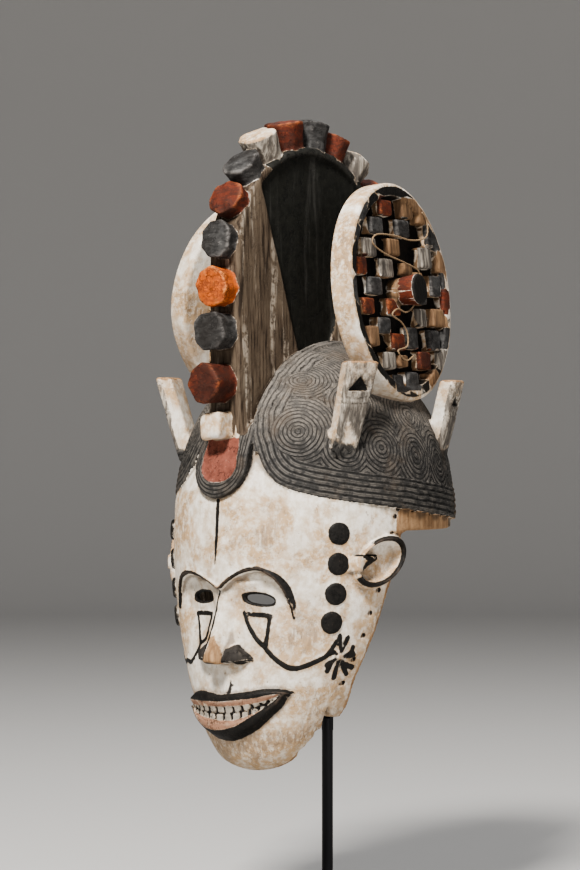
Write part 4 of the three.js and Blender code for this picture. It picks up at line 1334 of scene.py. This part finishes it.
    def _tuft_paint(self, paint: Paint) -> None:
        signed, x, y, z = paint.places()
        for tuft, side in zip(self.tufts, (signed, signed, -signed, -signed)):
            share, across, out = tuft.local(x, y, z)
            body = all_of(1.4 - np.abs(tuft.distance(x, y, z)), side)
            uneven = ripple(signed, y, z, 9.0, 8.0)
            paint.put(Pigment.WHITE, body)
            paint.put(Pigment.ASH, body, out - 2.0, 0.985 - share)
            paint.put(Pigment.BLACK, body + 1.0, -tuft.notch(share, across), out - 1.0)
            paint.put(Pigment.HAIR, body + 1.0, 14.0 * (0.16 - share) + uneven)
            paint.put(Pigment.WOOD, body, 60.0 * (share - 0.985) + uneven)

    def _ear_paint(self, paint: Paint) -> None:
        signed, x, y, z = paint.places()
        for ear, side in ((self.ear, signed), (self.far_ear, -signed)):
            outer, scoop = ear.outer(x, y, z), ear.scoop(x, y, z)
            _, upright, _ = ear.upright(x, y, z)
            reach = all_of(x - 84.0, upright + 46.5 - 2.0 * (z > ear.centre[2]), side)
            paint.put(Pigment.WHITE, 1.2 - np.abs(outer), side, x - 84.0)
            paint.put(Pigment.BLACK, 3.6 - np.maximum(np.abs(scoop), np.abs(outer)), reach)
            paint.put(Pigment.BLACK, 1.3 - np.abs(ear.tragus(x, y, z)), side, x - 86.5, y + 50.5)
            hole = np.linalg.norm(np.stack([x, y, z], 1) - np.array((94.2, -35.9, 280.2)), axis=1)
            # Painted shade standing in for the ear's hole.
            paint.put(Pigment.DARK, 1.8 - hole, side)

    def mesh(self) -> bpy.types.Object:
        """The carved surface as an object, thinned to the triangle limit."""
        wood = self.carve()
        points, triangles, quads = wood.surface()
        LOG.info("surface: %d points, %d quads", len(points), len(quads))
        data = bpy.data.meshes.new("carved_mask")
        faces = [list(map(int, q[::-1])) for q in quads] + [list(map(int, t[::-1])) for t in triangles]
        data.from_pydata((points * MM).tolist(), [], faces)
        body = bpy.data.objects.new("mask_body", data)
        bpy.context.scene.collection.objects.link(body)
        self._thin(body)
        self._keep(wood, body)
        return body

    def _keep(self, wood: WoodBlock, body: bpy.types.Object) -> None:
        """Stores the paint and the surface's roundness at the mesh's points for the finish to read."""
        data = body.data
        flat_points = np.empty(len(data.vertices) * 3, np.float32)
        data.vertices.foreach_get("co", flat_points)
        points = flat_points.reshape(-1, 3).astype(float) / MM
        paint = self.paint(points)
        values = {pigment.name.lower(): area for pigment, area in paint.areas.items()}
        values.update(edge_run=self.edge_run, coil_run=self.coil_run, among=self.among)
        values.update(soil=self.soil(points))
        values.update(round_fine=wood.roundness(points, 2.2), round_broad=wood.roundness(points, 6.0))
        for name, value in values.items():
            data.attributes.new(name, "FLOAT", "POINT").data.foreach_set("value", value.astype(np.float32))

    def soil(self, points: Array) -> Array:
        """How far the white is darkened to tan, from 0 to 1: partly dirt from handling and age, partly painted shade;
        most on the chin and jaw, the rear edge, under the hair and round the temples."""
        signed, y, z = points.T
        x = np.abs(signed)
        _, _, back = self.face.section(z)
        # Each term below darkens the white partly as dirt and partly as painted shade.
        chin = 1.3 * np.clip((190.0 - z) / 42.0, 0.0, 1.0) * np.clip((x + 10.0) / 26.0, 0.6, 1.0)
        rear = np.clip((y - back + 40.0) / 40.0, 0.0, 1.0) * (z < 300.0)
        brow = np.exp(-(((x - 42.0) / 26.0) ** 2) - ((z - 300.0) / 24.0) ** 2) * 0.9
        cheek = np.exp(-(((x - 58.0) / 16.0) ** 2) - ((z - 215.0) / 22.0) ** 2)
        high = np.clip((z - 345.0) / 25.0, 0.0, np.where(x < 18.0, 0.8, 0.5))
        return np.clip(np.maximum.reduce([chin, 0.9 * rear, brow, cheek, high]), 0.0, 1.3)

    def _thin(self, body: bpy.types.Object) -> None:
        """Thins the mesh to the triangle limit, least where the carving is fine."""
        count = sum(len(p.vertices) - 2 for p in body.data.polygons)
        thin = body.modifiers.new("thin", "DECIMATE")
        thin.ratio = self.most_triangles / count
        graph = bpy.context.evaluated_depsgraph_get()
        done = bpy.data.meshes.new_from_object(body.evaluated_get(graph))
        body.modifiers.clear()
        body.data = done
        done.name = "mask_body"
        done.polygons.foreach_set("use_smooth", [True] * len(done.polygons))
        LOG.info("thinned to %d faces", len(done.polygons))


# ---------------------------------------------------------------- finishes


Socket = bpy.types.NodeSocket


class Graph:
    """Adds and links the nodes of one material."""

    def __init__(self, name: str) -> None:
        self.material = bpy.data.materials.new(name)
        self.material.use_nodes = True
        self.tree = self.material.node_tree
        self.shader = self.tree.nodes["Principled BSDF"]

    def _node(self, kind: str) -> bpy.types.Node:
        return self.tree.nodes.new("ShaderNode" + kind)

    def _feed(self, socket: Socket, value: Socket | float | Sequence[float]) -> None:
        if isinstance(value, Socket):
            self.tree.links.new(value, socket)
        elif isinstance(value, (int, float)):
            socket.default_value = value
        else:
            socket.default_value = (*value, 1.0) if len(socket.default_value) == 4 else tuple(value)

    def attribute(self, name: str) -> Socket:
        """A value stored at the mesh's points."""
        node = self._node("Attribute")
        node.attribute_name = name
        return node.outputs["Fac"]

    def place(self, scale: Sequence[float] = (1.0, 1.0, 1.0)) -> Socket:
        """The object's own coordinates, stretched."""
        node = self._node("Mapping")
        node.inputs["Scale"].default_value = tuple(scale)
        coordinates = self._node("TexCoord")
        self.tree.links.new(coordinates.outputs["Object"], node.inputs["Vector"])
        return node.outputs["Vector"]

    def noise(
        self, vector: Socket, size: float, detail: float = 4.0, rough: float = 0.55, twist: float = 0.0
    ) -> Socket:
        """Uneven values about a half, with features of a size in millimetres."""
        node = self._node("TexNoise")
        self.tree.links.new(vector, node.inputs["Vector"])
        node.inputs["Scale"].default_value = 1000.0 / size
        node.inputs["Detail"].default_value = detail
        node.inputs["Roughness"].default_value = rough
        node.inputs["Distortion"].default_value = twist
        return node.outputs["Fac"]

    def maths(self, operation: str, *values: Socket | float) -> Socket:
        """One arithmetic step."""
        node = self._node("Math")
        node.operation = operation
        for socket, value in zip(node.inputs, values):
            self._feed(socket, value)
        return node.outputs[0]

    def times(self, first: Socket | float, second: Socket | float) -> Socket:
        """The product of two values."""
        return self.maths("MULTIPLY", first, second)

    def times_plus(self, first: Socket | float, second: Socket | float, more: Socket | float) -> Socket:
        """The product of two values, and a third added."""
        return self.maths("MULTIPLY_ADD", first, second, more)

    def ramp(self, value: Socket, low: float, high: float, start: float = 0.0, end: float = 1.0) -> Socket:
        """A soft step from start to end as the value goes from low to high."""
        node = self._node("MapRange")
        node.interpolation_type = "SMOOTHSTEP"
        self._feed(node.inputs["Value"], value)
        for name, number in (("From Min", low), ("From Max", high), ("To Min", start), ("To Max", end)):
            node.inputs[name].default_value = number
        return node.outputs["Result"]

    def mix(self, share: Socket | float, first: Socket | Sequence[float], second: Socket | Sequence[float]) -> Socket:
        """From the first colour to the second."""
        node = self._node("Mix")
        node.data_type = "RGBA"
        self._feed(node.inputs["Factor"], share)
        self._feed(node.inputs[6], first)
        self._feed(node.inputs[7], second)
        return node.outputs[2]

    def over(
        self, colour: Socket | Sequence[float], coat: Socket | Sequence[float], value: Socket,
        low: float, high: float, start: float = 0.0, end: float = 1.0,
    ) -> Socket:  # fmt: skip
        """A colour with a coat laid over it, as much as a soft step of the value says."""
        return self.mix(self.ramp(value, low, high, start, end), colour, coat)

    def blend(self, share: Socket, first: Socket | float, second: Socket | float) -> Socket:
        """From the first value to the second."""
        node = self._node("Mix")
        self._feed(node.inputs["Factor"], share)
        self._feed(node.inputs[2], first)
        self._feed(node.inputs[3], second)
        return node.outputs[0]


class CarvedWoodFinish(Graph):
    """Worn kaolin, pigments and bare wood, laid where the mesh's paint distances say."""

    def __init__(self) -> None:
        super().__init__("carved_wood")
        self.plain = self.place()
        self.grain = self.place((1.0, 1.0, 0.09))
        parts = self._node("SeparateXYZ")
        self.tree.links.new(self.plain, parts.inputs["Vector"])
        self.height = parts.outputs["Z"]
        self.fine = self.attribute("round_fine")
        self.broad = self.attribute("round_broad")
        self.speckle = self.noise(self.plain, 1.6, 3.0, 0.6)
        self.mottle = self.noise(self.plain, 6.0, 5.0, 0.62)
        self.patches = self.noise(self.plain, 34.0, 6.0, 0.6, 0.4)
        self.streaks = self.noise(self.grain, 2.6, 4.0, 0.6)
        self.long_streaks = self.noise(self.grain, 9.0, 4.0, 0.6)
        # Stretched noise: dark scratches on the pegs, and light streaks on the coal that are painted highlights.
        self.scratches_and_glints = self.noise(self.place((0.30, 0.5, 1.0)), 3.2, 5.0, 0.68, 0.3)
        crack = self.maths("ABSOLUTE", self.maths("SUBTRACT", self.noise(self.plain, 15.0, 5.0, 0.7), 0.5))
        self.cracks = self.times(self.ramp(crack, 0.022, 0.004, 0.0, 0.8), self.ramp(self.patches, 0.46, 0.54))

    def inside(self, pigment: Pigment, rough: float = 1.0, soft: float = 0.35) -> Socket:
        """Where a pigment lies, with an edge as rough as a brush leaves it, in millimetres."""
        wobble = self.times_plus(self.mottle, 1.6 * rough, -0.8 * rough)
        wobble = self.times_plus(self.speckle, 0.9 * rough, wobble)
        wobble = self.maths("SUBTRACT", wobble, 0.45 * rough)
        edge = self.maths("ADD", self.attribute(pigment.name.lower()), wobble)
        return self.ramp(edge, -soft, soft)

    def white(self) -> Socket:
        """Kaolin rubbed to tan in patches, darker in hollows with dirt and painted shade, worn through on edges."""
        colour = self.mix(self.ramp(self.mottle, 0.36, 0.66), (0.80, 0.755, 0.68), (0.63, 0.555, 0.455))
        # The stored darkening widens the tan patches: dirt, and painted shade on the chin, jaw, rear edge and under the
        # hair.
        soil = self.attribute("soil")
        area = self.times_plus(soil, 0.17, self.patches)
        tan = self.times(self.ramp(area, 0.46, 0.60), self.ramp(self.mottle, 0.34, 0.56, 0.40, 1.0))
        colour = self.mix(tan, colour, (0.50, 0.345, 0.205))
        flakes = self.times(self.ramp(area, 0.52, 0.62), self.ramp(self.noise(self.plain, 4.2, 5.0, 0.7), 0.50, 0.60))
        colour = self.mix(self.times(flakes, 0.55), colour, (0.74, 0.68, 0.59))
        deep = self.times(self.ramp(area, 0.60, 0.76), self.ramp(self.streaks, 0.42, 0.60))
        colour = self.mix(self.times(deep, 0.85), colour, (0.27, 0.175, 0.10))
        colour = self.over(colour, (0.45, 0.38, 0.31), self.noise(self.plain, 70.0, 3.0, 0.5), 0.50, 0.62, 0.0, 0.25)
        colour = self.over(colour, (0.50, 0.40, 0.30), self.streaks, 0.52, 0.70, 0.0, 0.35)
        colour = self.over(colour, (0.20, 0.135, 0.085), self.noise(self.plain, 3.4, 2.0, 0.5), 0.69, 0.75, 0.0, 0.55)
        # Darker in fine creases: dirt and painted shade.
        colour = self.over(
            colour, (0.21, 0.165, 0.125), self.times_plus(self.speckle, 0.5, self.fine), 0.0, -0.5, 0.0, 0.7
        )
        # Painted shade in broad hollows.
        colour = self.over(colour, (0.27, 0.215, 0.165), self.broad, -0.3, -2.4, 0.0, 0.6)
        return self.over(colour, (0.42, 0.27, 0.155), self.times_plus(self.mottle, 1.3, self.fine), 1.32, 1.8, 0.0, 0.8)

    def wood(self, pigment: Pigment, deep: Sequence[float]) -> Socket:
        """Bare wood with upright grain."""
        base = pigment.value
        colour = self.over(base, deep, self.streaks, 0.35, 0.68)
        colour = self.over(colour, deep, self.patches, 0.42, 0.66, 0.0, 0.4)
        # Painted shade in creases.
        return self.over(colour, (0.045, 0.03, 0.02), self.fine, 0.0, -0.6, 0.0, 0.7)

    def ash(self) -> Socket:
        """Grey-white paint in upright streaks."""
        colour = self.mix(self.ramp(self.streaks, 0.36, 0.58), (0.42, 0.375, 0.315), (0.13, 0.112, 0.094))
        colour = self.over(colour, (0.085, 0.074, 0.064), self.long_streaks, 0.48, 0.60, 0.0, 0.7)
        # Painted shade in creases.
        return self.over(colour, (0.03, 0.022, 0.016), self.fine, 0.0, -0.5, 0.0, 0.8)

    def dull(self, pigment: Pigment, worn: Sequence[float], amount: float, rise: float = 1.15) -> Socket:
        """A dark or coloured pigment rubbed lighter on its edges and in specks."""
        base = pigment.value
        colour = self.mix(self.ramp(self.mottle, 0.40, 0.62, 0.0, 0.55), base, tuple(c * 0.45 for c in base))
        rubbed = self.times_plus(self.mottle, 1.4, self.fine)
        colour = self.over(colour, worn, rubbed, rise - 0.25, rise + 0.5, 0.0, amount)
        colour = self.over(colour, worn, self.speckle, 0.60, 0.72, 0.0, amount * 0.6)
        return self.mix(self.cracks, colour, tuple(c * 0.2 for c in base))

    def strands(self) -> tuple[Socket, Socket]:
        """The hair's ridges as a height from 0 to 1, and the share worn along their tops."""
        among = self.ramp(self.attribute("among"), -0.05, 0.05)
        run = self.blend(among, self.attribute("edge_run"), self.attribute("coil_run"))
        sway = self.ramp(self.height, HAIR_LOW, HAIR_HIGH, 0.7, 1.9)
        wobble = self.times(self.maths("SUBTRACT", self.noise(self.plain, 12.0, 4.0, 0.6), 0.5), sway)
        t = self.maths("FRACT", self.maths("ADD", run, wobble))
        arch = self.times(self.times(t, self.maths("SUBTRACT", 1.0, t)), 4.0)
        height = self.maths("POWER", self.maths("MAXIMUM", arch, 0.0), 0.5)
        fibre = self.maths("FRACT", self.times_plus(wobble, 1.6, self.times(run, 3.0)))
        fibre = self.maths("ABSOLUTE", self.maths("SUBTRACT", fibre, 0.5))
        height = self.times(height, self.ramp(fibre, 0.02, 0.16, 0.72, 1.0))
        worn = self.times(self.ramp(height, 0.66, 1.0), self.ramp(self.mottle, 0.38, 0.60))
        return height, worn

    def build(self) -> bpy.types.Material:
        """Links everything to the shader."""
        colour = self.white()
        rough: Socket | float = 0.86
        lift: Socket | float = 0.0
        height, worn = self.strands()
        high = self.ramp(self.height, HAIR_LOW, HAIR_HIGH)
        # The grooves are coloured darker than the strands: painted shade in the grooves.
        ridge = self.mix(high, (0.034, 0.032, 0.030), (0.105, 0.096, 0.086))
        groove = self.mix(high, (0.009, 0.008, 0.007), (0.028, 0.024, 0.020))
        hair = self.over(groove, ridge, height, 0.18, 0.68)
        hair = self.mix(self.times(worn, 0.8), hair, self.mix(high, (0.13, 0.118, 0.104), (0.235, 0.205, 0.172)))
        hair = self.over(hair, (0.012, 0.011, 0.010), self.speckle, 0.56, 0.70, 0.0, 0.6)
        hair = self.over(hair, (0.12, 0.09, 0.065), self.patches, 0.52, 0.70, 0.0, 0.5)
        panel = self.dull(Pigment.PANEL, (0.055, 0.052, 0.046), 0.6)
        panel = self.over(panel, (0.075, 0.072, 0.066), self.long_streaks, 0.52, 0.70, 0.0, 0.45)
        worn_wood = self.wood(Pigment.WORN, (0.050, 0.034, 0.023))
        worn_wood = self.over(worn_wood, (0.022, 0.015, 0.010), self.streaks, 0.55, 0.66, 0.0, 0.75)
        chalk = self.times(self.ramp(self.long_streaks, 0.50, 0.62), self.ramp(self.mottle, 0.36, 0.58))
        worn_wood = self.mix(self.times(chalk, 0.75), worn_wood, (0.42, 0.36, 0.29))
        coal = self.dull(Pigment.COAL, (0.15, 0.14, 0.132), 0.8, 1.3)
        coal = self.over(coal, (0.018, 0.017, 0.016), self.scratches_and_glints, 0.42, 0.54, 0.7, 0.0)
        # Light streaks on the coal: painted highlights.
        coal = self.over(coal, (0.20, 0.19, 0.18), self.scratches_and_glints, 0.62, 0.68, 0.0, 0.35)
        coal = self.over(coal, (0.020, 0.017, 0.015), self.patches, 0.46, 0.60, 0.0, 0.6)
        brick = self.dull(Pigment.BRICK, (0.34, 0.105, 0.04), 0.85, 1.3)
        brick = self.over(brick, (0.045, 0.016, 0.011), self.patches, 0.46, 0.62, 0.0, 0.75)
        brick = self.over(brick, (0.050, 0.020, 0.014), self.scratches_and_glints, 0.42, 0.54, 0.7, 0.0)
        orange = self.dull(Pigment.ORANGE, (0.60, 0.24, 0.08), 0.7, 1.3)
        orange = self.over(orange, (0.24, 0.060, 0.020), self.scratches_and_glints, 0.42, 0.54, 0.75, 0.0)
        lappet_red = self.dull(Pigment.RED, (0.40, 0.22, 0.17), 0.8, 1.2)
        coats = (
            (Pigment.WOOD, self.wood(Pigment.WOOD, (0.25, 0.145, 0.075)), 0.8, 1.3),
            (Pigment.WORN, worn_wood, 0.8, 1.4),
            (Pigment.PINK, self.dull(Pigment.PINK, (0.55, 0.40, 0.29), 0.8), 0.7, 0.8),
            (Pigment.GREY, self.dull(Pigment.GREY, (0.20, 0.17, 0.14), 0.35, 1.6), 0.75, 1.3),
            (Pigment.RED, lappet_red, 0.7, 0.8),
            (Pigment.BRICK, brick, 0.7, 0.8),
            (Pigment.TAN, self.wood(Pigment.TAN, (0.12, 0.07, 0.04)), 0.8, 0.9),
            (Pigment.ORANGE, orange, 0.7, 0.8),
            (Pigment.HAIR, hair, 0.62, 0.6),
            (Pigment.PANEL, panel, 0.7, 1.0),
            (Pigment.ASH, self.ash(), 0.8, 0.9),
            (Pigment.TOOTH, self.dull(Pigment.TOOTH, (0.52, 0.47, 0.40), 0.6), 0.7, 0.4),
            (Pigment.BLACK, self.dull(Pigment.BLACK, (0.10, 0.072, 0.053), 0.7, 1.85), 0.6, 0.7),
            (Pigment.COAL, coal, 0.6, 0.7),
            (Pigment.DARK, self.dull(Pigment.DARK, (0.06, 0.04, 0.025), 0.6), 0.8, 0.4),
        )
        for pigment, coat, roughness, edge in coats:
            where = self.inside(pigment, edge)
            colour = self.mix(where, colour, coat)
            rough = self.blend(where, rough, roughness)
            if pigment is Pigment.HAIR:
                lift = self.times(where, height)
        self.tree.links.new(colour, self.shader.inputs["Base Color"])
        self.tree.links.new(rough, self.shader.inputs["Roughness"])
        self.shader.inputs["Specular IOR Level"].default_value = 0.22
        bumps = self.times_plus(self.mottle, 0.9, self.times(self.speckle, 0.35))
        bumps = self.times_plus(self.streaks, 0.5, bumps)
        bumps = self.times_plus(self.cracks, -0.8, bumps)
        bumps = self.times_plus(lift, 1.6, bumps)
        bump = self._node("Bump")
        bump.inputs["Strength"].default_value = 0.75
        bump.inputs["Distance"].default_value = 0.0006
        self.tree.links.new(bumps, bump.inputs["Height"])
        self.tree.links.new(bump.outputs["Normal"], self.shader.inputs["Normal"])
        return self.material


# ---------------------------------------------------------------- cords, rod and foot


def add_object(name: str, points: Array, faces: list[Sequence[int]], smooth: bool = True) -> bpy.types.Object:
    """A mesh object from points in millimetres."""
    data = bpy.data.meshes.new(name)
    data.from_pydata((np.asarray(points) * MM).tolist(), [], faces)
    data.polygons.foreach_set("use_smooth", [smooth] * len(data.polygons))
    item = bpy.data.objects.new(name, data)
    bpy.context.scene.collection.objects.link(item)
    return item


def tube_faces(rings: int, sides: int) -> list[Sequence[int]]:
    """The quads between each ring of points and the next."""
    return [
        (i * sides + j, (i + 1) * sides + j, (i + 1) * sides + (j + 1) % sides, i * sides + (j + 1) % sides)
        for i, j in product(range(rings - 1), range(sides))
    ]


@dataclass(frozen=True)
class TwistedCord:
    """Plant fibre twisted from two plies and laid along a path.

    Args:
        name: piece and CAD node.
        path: knots in millimetres.
        radius: greatest radius.
        lay: length of one full twist.
    """

    name: str
    path: tuple[Point, ...]
    radius: float = 0.9
    lay: float = 7.0
    sides: int = 10
    spacing: float = 0.9

    def rings(self) -> tuple[Array, Array, Array, Array]:
        """Centres, two directions across and lengths along."""
        curve = spline(self.path, 14)
        run = np.concatenate([[0.0], np.cumsum(np.linalg.norm(np.diff(curve, axis=0), axis=1))])
        count = max(4, int(run[-1] / self.spacing))
        along = np.linspace(0, run[-1], count)
        centres = np.stack([np.interp(along, run, curve[:, i]) for i in range(3)], 1)
        ways = np.gradient(centres, axis=0)
        ways /= np.linalg.norm(ways, axis=1)[:, None]
        side = np.cross(ways, (0.36, -0.2, 0.91))
        side /= np.linalg.norm(side, axis=1)[:, None]
        return centres, side, np.cross(ways, side), along

    def build(self) -> bpy.types.Object:
        """The cord as a closed tube with a two-ply section."""
        centres, side, across, along = self.rings()
        turn = np.linspace(0, 2 * math.pi, self.sides, endpoint=False)
        points = []
        for centre, a, b, run in zip(centres, side, across, along):
            twist = 2 * math.pi * run / self.lay
            wear = 0.93 + 0.07 * math.sin(run * 0.9) * math.sin(run * 0.37 + 1.0)
            radius = self.radius * wear * (0.80 + 0.20 * np.cos(2.0 * (turn - twist)))
            points.append(centre + a * (radius * np.cos(turn))[:, None] + b * (radius * np.sin(turn))[:, None])
        count, n = len(centres), self.sides
        faces = tube_faces(count, n)
        faces.append(tuple(range(n)))
        faces.append(tuple(range(count * n - 1, (count - 1) * n - 1, -1)))
        item = add_object(self.name, np.vstack(points), faces)
        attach(item, "root")
        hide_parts(self.name)
        return item


def disc_tie(disc: SideDisc) -> TwistedCord:
    """The cord over the wearer's left disc."""
    flat_path = (
        (-43, 63), (-50, 56), (-46, 44), (-20, 40), (10, 42), (38, 41), (45, 34), (25, 27), (-5, 22), (-28, 16),
        (-19, 4), (-15, -9), (0, -16), (14, -14), (24, -19), (10, -24), (2, -32), (4, -42), (20, -46),
        (8, -53), (-6, -49),
    )  # fmt: skip
    height = disc.thick / 2 + CORD_CLEAR
    return TwistedCord("disc_cord", tuple(tuple(disc.place(a, height, u)) for a, u in flat_path), 0.8)


def peg_strand(name: str, low: float, high: float, y: float = -112.0) -> TwistedCord:
    """A short strand between two front pegs."""
    middle = (low + high) / 2
    path = ((0.0, y, low), (0.5, y - 0.25, middle - 1.5), (-0.3, y + 0.1, middle + 1.5), (0.0, y, high))
    return TwistedCord(name, path, 0.7, 4.0, 8, 0.5)


@dataclass(frozen=True)
class DisplayStand:
    """A steel rod with a flat bar under the crown, on a square foot."""

    cap: Cap
    hollow: Hollow
    foot_size: float = 180.0
    foot_thick: float = 12.0
    rod_y: float = 25.0
    rod_radius: float = 4.25
    rod_top: float = 152.0
    strap_wide: float = 9.0
    strap_thick: float = 4.0
    bar: float = 46.0
    gap: float = 0.3

    def _bevelled(self, name: str, low: Sequence[float], high: Sequence[float], bevel: float) -> bpy.types.Object:
        corners = [(x, y, z) for z in (low[2], high[2]) for y in (low[1], high[1]) for x in (low[0], high[0])]
        faces = [(0, 2, 3, 1), (4, 5, 7, 6), (0, 1, 5, 4), (2, 6, 7, 3), (0, 4, 6, 2), (1, 3, 7, 5)]
        item = add_object(name, np.array(corners), faces, smooth=False)
        edge = item.modifiers.new("bevel", "BEVEL")
        edge.width, edge.segments = bevel * MM, 3
        graph = bpy.context.evaluated_depsgraph_get()
        item.data, old = bpy.data.meshes.new_from_object(item.evaluated_get(graph)), item.data
        item.modifiers.clear()
        bpy.data.meshes.remove(old)
        return item

    def _round(self) -> bpy.types.Object:
        turn = np.linspace(0, 2 * math.pi, 40, endpoint=False)
        low, high, ease = self.foot_thick + self.gap, self.rod_top, 0.6
        rows = ((low, 1.0), (high - ease, 1.0), (high, 1.0 - ease / self.rod_radius))
        points = [
            (math.cos(a) * self.rod_radius * k, self.rod_y + math.sin(a) * self.rod_radius * k, z)
            for z, k in rows
            for a in turn
        ]
        n = len(turn)
        faces = [quad[:1] + quad[:0:-1] for quad in tube_faces(len(rows), n)]
        faces.append(tuple(range(n - 1, -1, -1)))
        faces.append(tuple(range(2 * n, 3 * n)))
        return add_object("rod_round", np.array(points), faces, smooth=False)

    def build(self) -> list[bpy.types.Object]:
        """The rod and the foot."""
        half = self.foot_size / 2
        foot = self._bevelled("display_foot", (-half, -half, 0), (half, half, self.foot_thick), 1.5)
        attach(foot, "root")
        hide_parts("display_foot")
        y, w, t = self.rod_y, self.strap_wide / 2, self.strap_thick / 2
        _, deep, tall = (r - self.hollow.wall for r in self.cap.radii)
        end = (y + self.bar / 2 - self.cap.centre[1]) / deep
        top = self.cap.centre[2] + (tall - 2) * math.sqrt(1 - end * end) - 1.5
        rod = self._round()
        strap = self._bevelled("rod_strap", (-w, y - t, self.rod_top - 10), (w, y + t, top - 1), 0.5)
        bar = self._bevelled("rod_bar", (-w, y - self.bar / 2, top - 2 * t), (w, y + self.bar / 2, top), 0.5)
        with bpy.context.temp_override(active_object=rod, object=rod, selected_editable_objects=[rod, strap, bar]):
            bpy.ops.object.join()
        rod.name = rod.data.name = "display_rod"
        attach(rod, "root")
        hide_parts("display_rod")
        return [foot, rod]


# ---------------------------------------------------------------- scene


@dataclass(frozen=True)
class PhotoCamera:
    """The camera, set where the photograph was taken from.

    Args:
        turn: degrees that it stands round from the front, towards the wearer's left.
        scale: millimetres at the mask to a pixel of the photograph.
        away: its distance in millimetres.
        middle: the photograph's middle across, in pixels.
        axis: where the part's upright axis stands across, in pixels.
        level: height of the photograph's middle, in millimetres.
        tall: the photograph's height in pixels.
        sensor: sensor height in millimetres.
    """

    turn: float = 40.0
    scale: float = 0.767
    away: float = 2300.0
    middle: float = 290
    axis: float = 306.8
    level: float = 370.2
    tall: float = 870.0
    sensor: float = 24.0

    def build(self) -> None:
        """Makes the camera the scene's own."""
        turn = math.radians(self.turn)
        right = Vector((math.cos(turn), math.sin(turn), 0))
        ahead = Vector((-math.sin(turn), math.cos(turn), 0))
        target = right * (self.middle - self.axis) * self.scale + Vector((0, 0, self.level))
        data = bpy.data.cameras.new("camera")
        data.sensor_fit = "VERTICAL"
        data.sensor_height = self.sensor
        data.lens = self.sensor * (self.away / self.scale) / self.tall
        data.clip_end = 50.0
        item = bpy.data.objects.new("camera", data)
        item.location = (target - ahead * self.away) * MM
        item.rotation_euler = ahead.to_track_quat("-Z", "Y").to_euler()
        bpy.context.scene.collection.objects.link(item)
        bpy.context.scene.camera = item


@dataclass(frozen=True)
class Studio:
    """A plain pale floor that sweeps up all round, and soft lamps, in metres.

    Args:
        flat: radius of the floor's flat part.
        bend: radius of the curve that it sweeps up in.
        height: height of the sweep's top.
        sides: points in each ring of the floor.
        bend_steps: rings in the curve.
        middle: where the lamps point.
    """

    flat: float = 3.9
    bend: float = 1.8
    height: float = 2.3
    sides: int = 96
    bend_steps: int = 20
    middle: Point = (0, 0, 0.36)
    floor_colour: Point = (0.50, 0.49, 0.475)
    sky_colour: Point = (0.86, 0.9, 1.0)
    sky_strength: float = 0.09
    # name, place, size in metres, watts and colour of each lamp
    lamps: tuple[tuple[str, tuple[float, ...], float, float, tuple[float, ...]], ...] = (
        ("key", (0.75, -2.0, 2.5), 0.55, 178.0, (1.0, 0.97, 0.93)),
        ("side", (2.4, -0.9, 0.9), 1.1, 16.0, (0.97, 0.98, 1.0)),
        ("top", (-0.2, 0.6, 2.5), 1.0, 30.0, (1.0, 1.0, 1.0)),
    )

    def floor(self) -> bpy.types.Object:
        """The round floor and its sweep."""
        steps = [math.pi / 2 * i / self.bend_steps for i in range(self.bend_steps + 1)]
        profile = [(self.flat + self.bend * math.sin(a), self.bend * (1 - math.cos(a))) for a in steps]
        profile.append((self.flat + self.bend, self.height))
        turn = np.linspace(0.0, 2 * math.pi, self.sides, endpoint=False)
        rings = [np.stack([r * np.cos(turn), r * np.sin(turn), np.full(self.sides, z)], 1) for r, z in profile]
        faces = [tuple(range(self.sides)), *tube_faces(len(rings), self.sides)]
        return add_object("floor", np.vstack(rings) / MM, faces)

    def area_light(self, name: str, at: Sequence[float], size: float, power: float, colour: Sequence[float]) -> None:
        """A square lamp that looks at the mask's middle."""
        data = bpy.data.lights.new(name, "AREA")
        data.size = size
        data.energy = power
        data.color = colour
        item = bpy.data.objects.new(name, data)
        item.location = at
        item.rotation_euler = (Vector(self.middle) - Vector(at)).to_track_quat("-Z", "Y").to_euler()
        bpy.context.scene.collection.objects.link(item)

    def build(self) -> None:
        """Makes the floor and the lamps."""
        floor = self.floor()
        floor.data.materials.append(plain_material("pale_floor", self.floor_colour, 0.9))
        for lamp in self.lamps:
            self.area_light(*lamp)
        world = bpy.data.worlds.new("soft_sky")
        bpy.context.scene.world = world
        world.use_nodes = True
        sky = world.node_tree.nodes["Background"]
        sky.inputs["Color"].default_value = (*self.sky_colour, 1.0)
        sky.inputs["Strength"].default_value = self.sky_strength


def plain_material(name: str, colour: Sequence[float], roughness: float, metallic: float = 0.0) -> bpy.types.Material:
    """A material with one even colour."""
    material = bpy.data.materials.new(name)
    material.use_nodes = True
    shader = material.node_tree.nodes["Principled BSDF"]
    shader.inputs["Base Color"].default_value = (*colour, 1.0)
    shader.inputs["Roughness"].default_value = roughness
    shader.inputs["Metallic"].default_value = metallic
    return material


def main() -> None:
    """Builds every piece."""
    logging.basicConfig(level=logging.INFO, format="%(name)s: %(message)s")
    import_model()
    carving = Carving()
    body = carving.mesh()
    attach(body, "root")
    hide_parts("carved_mask")
    body.data.materials.append(CarvedWoodFinish().build())
    fibre = plain_material("plant_fibre", FIBRE_COLOUR, 0.9)
    steel = plain_material("blackened_steel", STEEL_COLOUR, 0.5, 0.5)
    front = [z for z, _, _ in carving.front_pegs]
    tip = SOLID_PEG_TIP + STRAND_CLEAR
    cords = [
        disc_tie(carving.disc),
        peg_strand("peg_strand_low", front[0] + tip, front[1] - tip),
        peg_strand("peg_strand_high", front[1] + tip, front[2] - tip),
    ]
    for cord in cords:
        cord.build().data.materials.append(fibre)
    for item in DisplayStand(carving.cap, carving.hollow).build():
        item.data.materials.append(steel)
    Studio().build()
    PhotoCamera().build()
    bpy.context.scene.view_settings.look = "AgX - Medium High Contrast"


if __name__ == "__main__":
    main()
